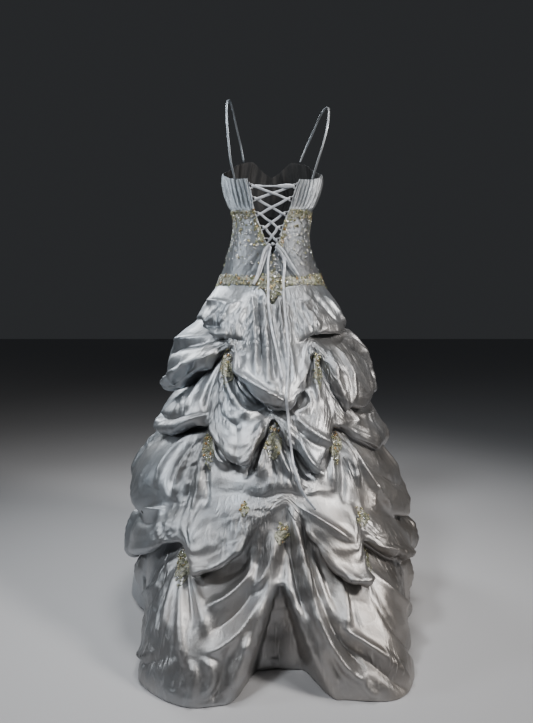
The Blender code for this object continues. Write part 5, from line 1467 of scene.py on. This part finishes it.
# the knot, its two loops and two hanging ends
bowLook = {
    "knotPlace": (0.0015, -0.0085, 1.0640),
    "knotSize": (0.0105, 0.0120, 0.0085),
    "grooveDepth": 0.16,
    "grooves": 3,
    "grooveTwist": 5,
    "waver": 22,
    "widthShares": (0.94, 0.06),
    "tailTurn": 0.5,
    "samples": {"bow": 84, "tail": 150},
    "window": 0.012,
    "drop": 0.0156,
    "rounds": 24,
    "lastRounds": 6,
    "nearest": 4,
    "standShare": 0.6,
    "thickness": 0.0009,
    "routes": {
        "bowLeft": (
            (-0.0068, 1.0640, 0.0135), (-0.0200, 1.0480, 0.0150), (-0.0340, 1.0050, 0.0145),
            (-0.0480, 0.9600, 0.0135), (-0.0530, 0.9480, 0.0095), (-0.0490, 0.9560, 0.0050),
            (-0.0400, 0.9720, 0.0045), (-0.0230, 1.0200, 0.0045), (-0.0066, 1.0590, 0.0040),
        ),
        "bowRight": (
            (0.0100, 1.0640, 0.0145), (0.0260, 1.0500, 0.0175), (0.0480, 1.0150, 0.0155),
            (0.0680, 0.9820, 0.0135), (0.0745, 0.9725, 0.0095), (0.0705, 0.9780, 0.0045),
            (0.0540, 1.0000, 0.0045), (0.0300, 1.0300, 0.0045), (0.0105, 1.0590, 0.0040),
        ),
        "tailLeft": (
            (-0.0050, 1.0555, 0.009), (-0.0110, 1.0300, 0.009), (-0.0115, 0.9600, 0.009),
            (-0.0105, 0.8800, 0.008), (-0.0030, 0.8300, 0.008), (0.0075, 0.7850, 0.008),
            (0.0170, 0.7400, 0.008), (0.0240, 0.7020, 0.008),
        ),
        "tailRight": (
            (0.0090, 1.0555, 0.009), (0.0290, 1.0300, 0.009), (0.0310, 0.9500, 0.009),
            (0.0330, 0.8900, 0.008), (0.0360, 0.8500, 0.008), (0.0400, 0.7800, 0.008),
            (0.0370, 0.7100, 0.008), (0.0330, 0.6600, 0.008), (0.0380, 0.6100, 0.008),
            (0.0440, 0.5450, 0.008), (0.0540, 0.4800, 0.008), (0.0760, 0.4250, 0.008),
            (0.1030, 0.3950, 0.008),
        ),
    },
}

behindPoints = np.concatenate([pointsOf(piece) for piece in bodicePieces + skirtPieces])
near = (np.abs(behindPoints[:, 0]) < 0.13) & (behindPoints[:, 1] < -0.05)
behindPoints = behindPoints[near] + (0.0, 0.0, shoulderHeight)


def hangingPath(rows, samples):
    # the ribbon hangs just clear of the cloth that it crosses
    flat = curveThrough([(across, off, height) for across, height, off in rows], samples)
    depths = []
    for across, off, height in flat:
        close = np.abs(behindPoints[:, 0] - across) < bowLook["window"]
        close &= np.abs(behindPoints[:, 2] - height) < bowLook["drop"]
        depths.append(np.percentile(behindPoints[close, 1], bowLook["nearest"]))
    depths = np.array(depths)
    eased = depths.copy()
    for _ in range(bowLook["rounds"]):
        padded = np.concatenate([eased[:1], eased, eased[-1:]])
        eased = np.minimum(depths, (padded[:-2] + padded[1:-1] + padded[2:]) / 3)
    for _ in range(bowLook["lastRounds"]):
        padded = np.concatenate([eased[:1], eased, eased[-1:]])
        eased = (padded[:-2] + padded[1:-1] + padded[2:]) / 3
    depth = eased - bowLook["standShare"] * flat[:, 1]
    return np.stack([flat[:, 0], depth, flat[:, 2] - shoulderHeight], axis=1)


ribbonPieces = {}
for name, rows in bowLook["routes"].items():
    kind = "bow" if name.startswith("bow") else "tail"
    path = hangingPath(rows, bowLook["samples"][kind])
    along = np.gradient(path, axis=0)
    if kind == "bow":
        along[:] = (rows[4][0] - rows[0][0], 0.0, rows[4][1] - rows[0][1])
    across = unit(np.cross(along, (0.0, -1.0, 0.0)))
    waver = np.linspace(0, bowLook["waver"], len(path))
    if kind == "tail":
        # a limp ribbon turns a little on its way down
        turn = bowLook["tailTurn"] * np.sin(0.55 * waver + (1 if "Left" in name else 2))
        forward = unit(np.cross(along, across))
        across = across * np.cos(turn)[:, None] + forward * np.sin(turn)[:, None]
    least, more = bowLook["widthShares"]
    width = lacingLook["ribbonWidth"] * (least + more * np.sin(waver))
    piece = ribbonMesh(name, path, across, width, bowLook["thickness"])
    words = {"bow": "bow_loop_", "tail": "ribbon_tail_"}
    settle(piece, "satin_ribbon", words[kind] + ("left" if "Left" in name else "right"))
    ribbonPieces[name] = (piece, path)

knotHeight = bowLook["knotPlace"][2]
knotDepth = float(readTable(bodiceSections, "back", knotHeight))
bpy.ops.mesh.primitive_uv_sphere_add(segments=28, ring_count=16, radius=0.5)
knot = bpy.context.object
knot.name = "lacingKnot"
middle = Vector(
    (bowLook["knotPlace"][0], bowLook["knotPlace"][1] - knotDepth, knotHeight - shoulderHeight)
)
for vertex in knot.data.vertices:
    place = Vector(part * size for part, size in zip(vertex.co, bowLook["knotSize"]))
    turn = bowLook["grooves"] * math.atan2(vertex.co.z, vertex.co.x)
    groove = bowLook["grooveDepth"] * math.cos(turn + bowLook["grooveTwist"] * vertex.co.y)
    vertex.co = middle + place * (1 + groove)
knot.data.materials.append(satin)
bpy.ops.object.shade_smooth()
settle(knot, "satin_ribbon", "lacing_knot")

for word in ("Left", "Right"):
    piece, path = ribbonPieces["tail" + word]

# narrow piping along the lacing edges and under the bust
pipingLook = {
    "width": 0.0026,
    "stand": 0.0009,
    "edgeEnds": (1.249, 1.040),
    "edgeInset": 0.0012,
    "bustStand": 0.0015,
    "bustLift": 0.0012,
    "samples": (90, 110),
}


def addPiping(name, path, across):
    path[:, 2] -= shoulderHeight
    settle(cordMesh(name, path, across, pipingLook["width"], bodiceTaffeta), "taffeta")


for word, side in (("Left", -1), ("Right", 1)):
    heights = np.linspace(*pipingLook["edgeEnds"], pipingLook["samples"][0])
    path = np.array([edgePoint(height, side, -pipingLook["edgeInset"]) for height in heights])
    path[:, 1] -= pipingLook["stand"] + lacingLook["wall"] / 2
    addPiping("edgePiping" + word, path, (1.0, 0.0, 0.0))
for word, first, last in (("Left", -90, None), ("Right", 90, None), ("Front", 90, 270)):
    if last is None:
        side = -1 if word == "Left" else 1
        last = float(edgeAngle(bodiceLook["underbust"], side))
    angles = np.linspace(first, last, pipingLook["samples"][1])
    path = bodicePoint(angles, np.full(len(angles), bodiceLook["underbust"]))
    path += unit(path * (1, 1, 0)) * pipingLook["bustStand"]
    path[:, 2] += pipingLook["bustLift"]
    addPiping("bustPiping" + word, path, (0.0, 0.0, 1.0))
print("straps, lacing and ribbons built")

# bead lace: a thin net cut to the shapes of the solids' lace, with beads, bugles and petals on it
laceWork = {
    "netStand": 0.0010,
    "netStep": 0.0032,
    "netThickness": 0.0004,
    "holeShare": 0.30,
    "fringeShare": 0.55,
    "beadStand": 0.0017,
    "perSquareMetre": 42000,
    "spill": 0.006,
    "kinds": ("round", "round", "bugle", "sequin", "petal", "small"),
    "mostOfOneNode": 1100,
    "leastFacing": 0.25,
    "rayOut": 0.05,
    "rayLength": 0.12,
    "cornerJoin": 0.00005,
    "netRounds": 7,
    "vineCells": 130.0,
    "edgeCells": 210.0,
    "clusterCells": 90.0,
    "clusterEnds": (0.15, 0.75),
    "fringeThin": 0.7,
    "wedge": (0.25, 0.85, 3),
    "fringe": (1.15, 1.9),
    "grazing": 0.05,
    "beadRise": 0.0006,
    "beadSizeEnds": (0.75, 1.2),
    "axisSlope": 0.03,
    "leastShareOfBox": 0.31,
}
laceNodes = [name for name in frame["nodes"] if name.startswith("lace_")]


def shellTree(pieces):
    # the faces of these pieces, to lay things on
    places, corners, count = [], [], 0
    for piece in pieces:
        sides = np.empty(len(piece.data.polygons) * 4, dtype=np.int32)
        piece.data.polygons.foreach_get("vertices", sides)
        places.append(pointsOf(piece))
        corners.append(sides.reshape(-1, 4) + count)
        count += len(places[-1])
    return BVHTree.FromPolygons(
        np.concatenate(places).tolist(), np.concatenate(corners).tolist(), epsilon=0.0
    )


clothTree = shellTree(bodicePieces + skirtPieces)


def outwardAt(point):
    # away from the gown's middle line, which slopes back towards the hem
    return Vector((point[0], point[1] - laceWork["axisSlope"] * point[2], 0.0)).normalized()


def layOn(point, stand):
    # the nearest outer cloth to a point, found from outside, and the way out of it
    out = outwardAt(point)
    start = Vector(point) + out * laceWork["rayOut"]
    hit, normal, _, _ = clothTree.ray_cast(start, -out, laceWork["rayLength"])
    if hit is None:
        hit, normal, _, _ = clothTree.find_nearest(Vector(point))
        if normal.dot(out) < 0:
            normal = -normal
    if normal.dot(out) < laceWork["grazing"]:
        normal = (normal + out).normalized()
    return hit + normal * stand, normal


def outerFaces(node):
    # the outward half of a lace solid, its corners joined
    sculpt = bmesh.new()
    sculpt.from_mesh(frame["nodes"][node].data)
    bmesh.ops.remove_doubles(sculpt, verts=sculpt.verts, dist=laceWork["cornerJoin"])
    inward = []
    for face in sculpt.faces:
        if face.normal.dot(outwardAt(face.calc_center_median())) < laceWork["leastFacing"]:
            inward.append(face)
    bmesh.ops.delete(sculpt, geom=inward, context="FACES")
    return sculpt


def fringeShare(node, points):
    # a pick-up's lace is wide and dense at its top and thins to a fringe below
    if "pickup" not in node:
        return np.zeros(len(points))
    corners = np.array([vertex.co for vertex in frame["nodes"][node].data.vertices])
    low, high = corners.min(axis=0), corners.max(axis=0)
    turn = np.arctan2(points[:, 0], -points[:, 1])
    edge = np.arctan2(corners[:, 0], -corners[:, 1])
    if edge.max() - edge.min() > math.pi:
        turn, edge = turn % (2 * math.pi), edge % (2 * math.pi)
    beside = np.abs(2 * (turn - edge.min()) / (edge.max() - edge.min()) - 1)
    above = (points[:, 2] - low[2]) / (high[2] - low[2])
    start, slope, rate = laceWork["wedge"]
    wedge = np.clip((beside - start - slope * above) * rate, 0, 1)
    start, slope = laceWork["fringe"]
    return np.clip(np.maximum(wedge, start - slope * above), 0, 1)


def layNet(node, seed):
    sculpt = outerFaces(node)
    for _ in range(laceWork["netRounds"]):
        long = [edge for edge in sculpt.edges if edge.calc_length() > laceWork["netStep"] * 1.5]
        if not long:
            break
        bmesh.ops.subdivide_edges(sculpt, edges=long, cuts=1, use_grid_fill=False)
        bmesh.ops.triangulate(sculpt, faces=sculpt.faces[:])
    centres = np.array([face.calc_center_median() for face in sculpt.faces])
    vines = creaseNoise(centres * laceWork["vineCells"], 71 + seed)
    edges = valueNoise(centres * laceWork["edgeCells"], 77 + seed)
    border = {
        face.index
        for vertex in sculpt.verts
        if vertex.is_boundary
        for face in vertex.link_faces
    }
    holes = laceWork["holeShare"] + laceWork["fringeShare"] * fringeShare(node, centres)
    gone = [
        face
        for place, face in enumerate(sculpt.faces)
        if vines[place] < holes[place] or (face.index in border and edges[place] < 0.5)
    ]
    bmesh.ops.delete(sculpt, geom=gone, context="FACES")
    loose = [vertex for vertex in sculpt.verts if not vertex.link_faces]
    bmesh.ops.delete(sculpt, geom=loose, context="VERTS")
    for vertex in sculpt.verts:
        vertex.co, _ = layOn(vertex.co, laceWork["netStand"])
    bmesh.ops.recalc_face_normals(sculpt, faces=sculpt.faces)
    if sum(face.normal.dot(outwardAt(face.calc_center_median())) for face in sculpt.faces) < 0:
        bmesh.ops.reverse_faces(sculpt, faces=sculpt.faces)
    mesh = bpy.data.meshes.new(node + "_net")
    sculpt.to_mesh(mesh)
    sculpt.free()
    mesh.polygons.foreach_set("use_smooth", [True] * len(mesh.polygons))
    mesh.materials.append(laceNet)
    net = placed(node + "_net", mesh)
    wall = net.modifiers.new("wall", "SOLIDIFY")
    wall.thickness = laceWork["netThickness"]
    wall.offset = 1.0
    bpy.context.view_layer.objects.active = net
    bpy.ops.object.modifier_apply(modifier="wall")
    return net


beadSizes = {
    "round": 0.00125,
    "small": 0.0009,
    "bugle": (0.0008, 0.0046),
    "sequin": (0.0019, 0.0008, 0.0005),
    "petal": 0.0016,
    "petalStretch": (1.7, 0.85, 0.5),
    "petalOut": 0.0024,
}


def beadForm(kind):
    # one bead of each kind, modelled once at the middle and read back to be repeated
    size = beadSizes[kind]
    if kind in ("round", "small"):
        bpy.ops.mesh.primitive_ico_sphere_add(subdivisions=1, radius=size)
    elif kind == "bugle":
        bpy.ops.mesh.primitive_cylinder_add(vertices=5, radius=size[0], depth=size[1])
        bpy.ops.object.mode_set(mode="EDIT")
        bpy.ops.mesh.select_all(action="SELECT")
        bpy.ops.transform.rotate(
            value=math.pi / 2, orient_axis="Y", center_override=(0.0, 0.0, 0.0)
        )
        bpy.ops.object.mode_set(mode="OBJECT")
    elif kind == "sequin":
        broad, narrow, deep = size
        bpy.ops.mesh.primitive_cone_add(vertices=8, radius1=broad, radius2=narrow, depth=deep)
    else:
        bpy.ops.mesh.primitive_ico_sphere_add(subdivisions=1, radius=size)
        bpy.ops.object.mode_set(mode="EDIT")
        bpy.ops.mesh.select_all(action="SELECT")
        bpy.ops.transform.resize(value=beadSizes["petalStretch"], center_override=(0.0, 0.0, 0.0))
        bpy.ops.transform.translate(value=(beadSizes["petalOut"], 0.0, 0.0))
        bpy.ops.object.mode_set(mode="OBJECT")
    bead = bpy.context.object
    points = np.array([vertex.co for vertex in bead.data.vertices])
    faces = [list(face.vertices) for face in bead.data.polygons]
    old = bead.data
    bpy.data.objects.remove(bead)
    bpy.data.meshes.remove(old)
    return points, faces


beadForms = {kind: beadForm(kind) for kind in ("round", "small", "bugle", "sequin", "petal")}
beadRandom = np.random.default_rng(23)
goldTints, silverTints = (0, 0, 0, 1, 1, 1, 2, 2, 3, 4), (2, 2, 2, 3, 1, 0)


def strew(piece, places, normals, tints):
    # flowers and single beads at these places, joined into one mesh
    points, faces, paints, count = [], [], [], 0
    for place, normal in zip(places, normals):
        kind = laceWork["kinds"][beadRandom.integers(len(laceWork["kinds"]))]
        tint = int(tints[beadRandom.integers(len(tints))])
        turn = beadRandom.uniform(0, 2 * math.pi)
        size = beadRandom.uniform(*laceWork["beadSizeEnds"])
        side = np.cross(normal, (0.0, 0.0, 1.0))
        side /= max(np.linalg.norm(side), 1e-6)
        up = np.cross(normal, side)
        petals = 5 if kind == "petal" else 1
        for petal in range(petals):
            angle = turn + petal * 2 * math.pi / petals
            right = side * math.cos(angle) + up * math.sin(angle)
            ahead = np.cross(normal, right)
            form, sides = beadForms[kind]
            spot = place + normal * (laceWork["beadRise"] * size)
            turned = form[:, :1] * right + form[:, 1:2] * ahead + form[:, 2:] * normal
            points.append(turned * size + spot)
            faces.extend([corner + count for corner in face] for face in sides)
            paints.extend([tint] * len(sides))
            count += len(form)
    mesh = bpy.data.meshes.new(piece)
    mesh.from_pydata(np.concatenate(points).tolist(), [], faces)
    for matter in beadMatters:
        mesh.materials.append(matter)
    mesh.polygons.foreach_set("material_index", paints)
    mesh.polygons.foreach_set("use_smooth", [True] * len(faces))
    mesh.update()
    return placed(piece, mesh)


def spotsOn(node, perSquareMetre, spill):
    # seeded places all over a lace solid's outer face, some of them just past its edge
    sculpt = outerFaces(node)
    bmesh.ops.triangulate(sculpt, faces=sculpt.faces[:])
    corners = np.array([[vertex.co for vertex in face.verts] for face in sculpt.faces])
    sculpt.free()
    areas = np.linalg.norm(
        np.cross(corners[:, 1] - corners[:, 0], corners[:, 2] - corners[:, 0]), axis=1
    ) / 2
    count = int(min(areas.sum() * perSquareMetre, laceWork["mostOfOneNode"]))
    picked = beadRandom.choice(len(areas), size=count, p=areas / areas.sum())
    u, v = beadRandom.random((2, count, 1))
    over = u + v > 1
    u, v = np.where(over, 1 - u, u), np.where(over, 1 - v, v)
    chosen = corners[picked]
    spots = chosen[:, 0] + u * (chosen[:, 1] - chosen[:, 0]) + v * (chosen[:, 2] - chosen[:, 0])
    spots += beadRandom.normal(0, spill / 2, spots.shape)
    thin = laceWork["fringeThin"] * fringeShare(node, spots)
    dense = creaseNoise(spots * laceWork["clusterCells"], 83) - thin
    keep = dense > beadRandom.uniform(*laceWork["clusterEnds"], count)
    return spots[keep]


def strewOn(piece, spots, tints=goldTints):
    laid = [layOn(spot, laceWork["beadStand"]) for spot in spots]
    places, ways = zip(*laid)
    return strew(piece, np.array(places), np.array(ways), tints)


laceNets = [settle(layNet(node, number), "bead_lace", node) for number, node in enumerate(laceNodes)]
print("lace net laid")

# beads on every piece of lace, thinner on the bodice between the bands and down the middle back
groups = {
    "bandBeads": [node for node in laceNodes if "pickup" not in node and "front" not in node],
    "bandBeadsFront": [node for node in laceNodes if "pickup" not in node and "front" in node],
    "pickUpBeads": [node for node in laceNodes if "pickup" in node],
}
for name, nodes in groups.items():
    spots = np.concatenate(
        [spotsOn(node, laceWork["perSquareMetre"], laceWork["spill"]) for node in nodes]
    )
    settle(strewOn(name, spots), "bead_lace")

# more beads climb from each pick-up's lace into the gathers over it
climb = {"high": 0.024, "halfWidth": 0.014, "count": 60, "topDepth": 0.012, "fullLace": 0.05}
spots = []
for node in groups["pickUpBeads"]:
    corners = np.array([vertex.co for vertex in frame["nodes"][node].data.vertices])
    low, high = corners[:, 2].min(), corners[:, 2].max()
    top = corners[corners[:, 2] > high - climb["topDepth"]].mean(axis=0)
    side = np.array((-top[1], top[0], 0.0)) / np.hypot(top[0], top[1])
    share = min((high - low) / climb["fullLace"], 1.0)
    count = int(climb["count"] * share)
    up = beadRandom.triangular(-0.3, 0.0, 1.0, count)[:, None] * climb["high"] * share
    across = beadRandom.uniform(-1, 1, count)[:, None] * climb["halfWidth"] * share
    spots.append(top + side * across + up * np.array((0.0, 0.0, 1.0)))
settle(strewOn("gatherBeads", np.concatenate(spots)), "bead_lace")

scatterLook = {
    "count": 1250,
    "low": 0.985,
    "high": 1.150,
    "sideMost": 100,
    "edgeClear": 6,
    "middleCount": 150,
    "middleEnds": (0.915, 1.035),
    "middleAngle": (2.0, 5.0),
}
height = beadRandom.triangular(
    scatterLook["low"], scatterLook["high"], scatterLook["high"], scatterLook["count"]
)
sideMost = scatterLook["sideMost"]
angle = beadRandom.uniform(-sideMost, sideMost, scatterLook["count"])
edge = np.degrees(np.arctan2(openingAt(height, 1), 0.09)) + scatterLook["edgeClear"]
clear = np.abs(angle) > edge
low = beadRandom.uniform(*scatterLook["middleEnds"], scatterLook["middleCount"])
middle = beadRandom.normal(*scatterLook["middleAngle"], scatterLook["middleCount"])
angle, height = np.concatenate([angle[clear], middle]), np.concatenate([height[clear], low])
spots = bodicePoint(angle, height) - (0.0, 0.0, shoulderHeight)
settle(strewOn("bodiceBeads", spots, silverTints), "bead_lace")
print("beads sewn on")


clothPoints = {piece.name: pointsOf(piece) for piece in bodicePieces + skirtPieces}
for net in laceNets:
    # each net's width and length across its lace, and its area, kept between a share of that box and the
    # whole box
    points = pointsOf(net)
    middle = points.mean(axis=0)
    turn = np.arctan2(points[:, 0], -points[:, 1])
    if np.ptp(turn) > math.pi:
        turn = turn % (2 * math.pi)
    width = np.ptp(turn) * np.hypot(points[:, 0], points[:, 1]).mean()
    length = np.hypot(np.ptp(points[:, 2]), np.ptp(np.hypot(points[:, 0], points[:, 1])))
    least = laceWork["leastShareOfBox"] * width * length
    area = min(max(sheetArea(net) / 2, least), width * length)


stageLook = {
    "floorSize": 30.0,
    "floorGap": 0.002,
    "floor": (0.44, 0.44, 0.45, 1.0),
    "sky": (0.40, 0.42, 0.45, 1.0),
    "skyStrength": 0.065,
    "lampSpread": 75,
    "lampAim": (0.0, -0.1, -0.75),
}
floorHeight = cadLow.z - stageLook["floorGap"]
bpy.ops.mesh.primitive_plane_add(size=stageLook["floorSize"], location=(0.0, 0.0, floorHeight))
floor = bpy.context.object
floor.name = "floor"
floorPaint = Painter("paleFloor")
floorPaint.setShader(Base_Color=stageLook["floor"], Roughness=0.85)
floor.data.materials.append(floorPaint.material)
world = bpy.data.worlds.new("studio")
bpy.context.scene.world = world
world.use_nodes = True
sky = world.node_tree.nodes["Background"]
sky.inputs["Color"].default_value = stageLook["sky"]
sky.inputs["Strength"].default_value = stageLook["skyStrength"]
# each lamp: where it stands, its power, size and colour
lampTable = (
    ("keyLamp", (-1.3, -2.3, 2.0), 12.5, 0.5, (0.94, 0.97, 1.0)),
    ("sideLamp", (-2.6, -0.9, 0.2), 4.5, 0.6, (0.92, 0.96, 1.0)),
    ("fillLamp", (2.3, -1.6, 0.9), 16.5, 0.6, (1.0, 0.96, 0.92)),
    ("topLamp", (0.2, -0.3, 2.3), 10.0, 0.8, (1.0, 1.0, 1.0)),
    ("rimLamp", (-1.8, 1.9, 0.9), 10.0, 1.2, (0.95, 0.98, 1.0)),
)
for name, place, power, size, colour in lampTable:
    lampData = bpy.data.lights.new(name, "AREA")
    lampData.energy = power
    lampData.size = size
    lampData.color = colour
    lampData.spread = math.radians(stageLook["lampSpread"])
    lamp = placed(name, lampData)
    lamp.location = place
    way = Vector(place) - Vector(stageLook["lampAim"])
    lamp.rotation_euler = way.to_track_quat("Z", "Y").to_euler()
print("floor and light placed")
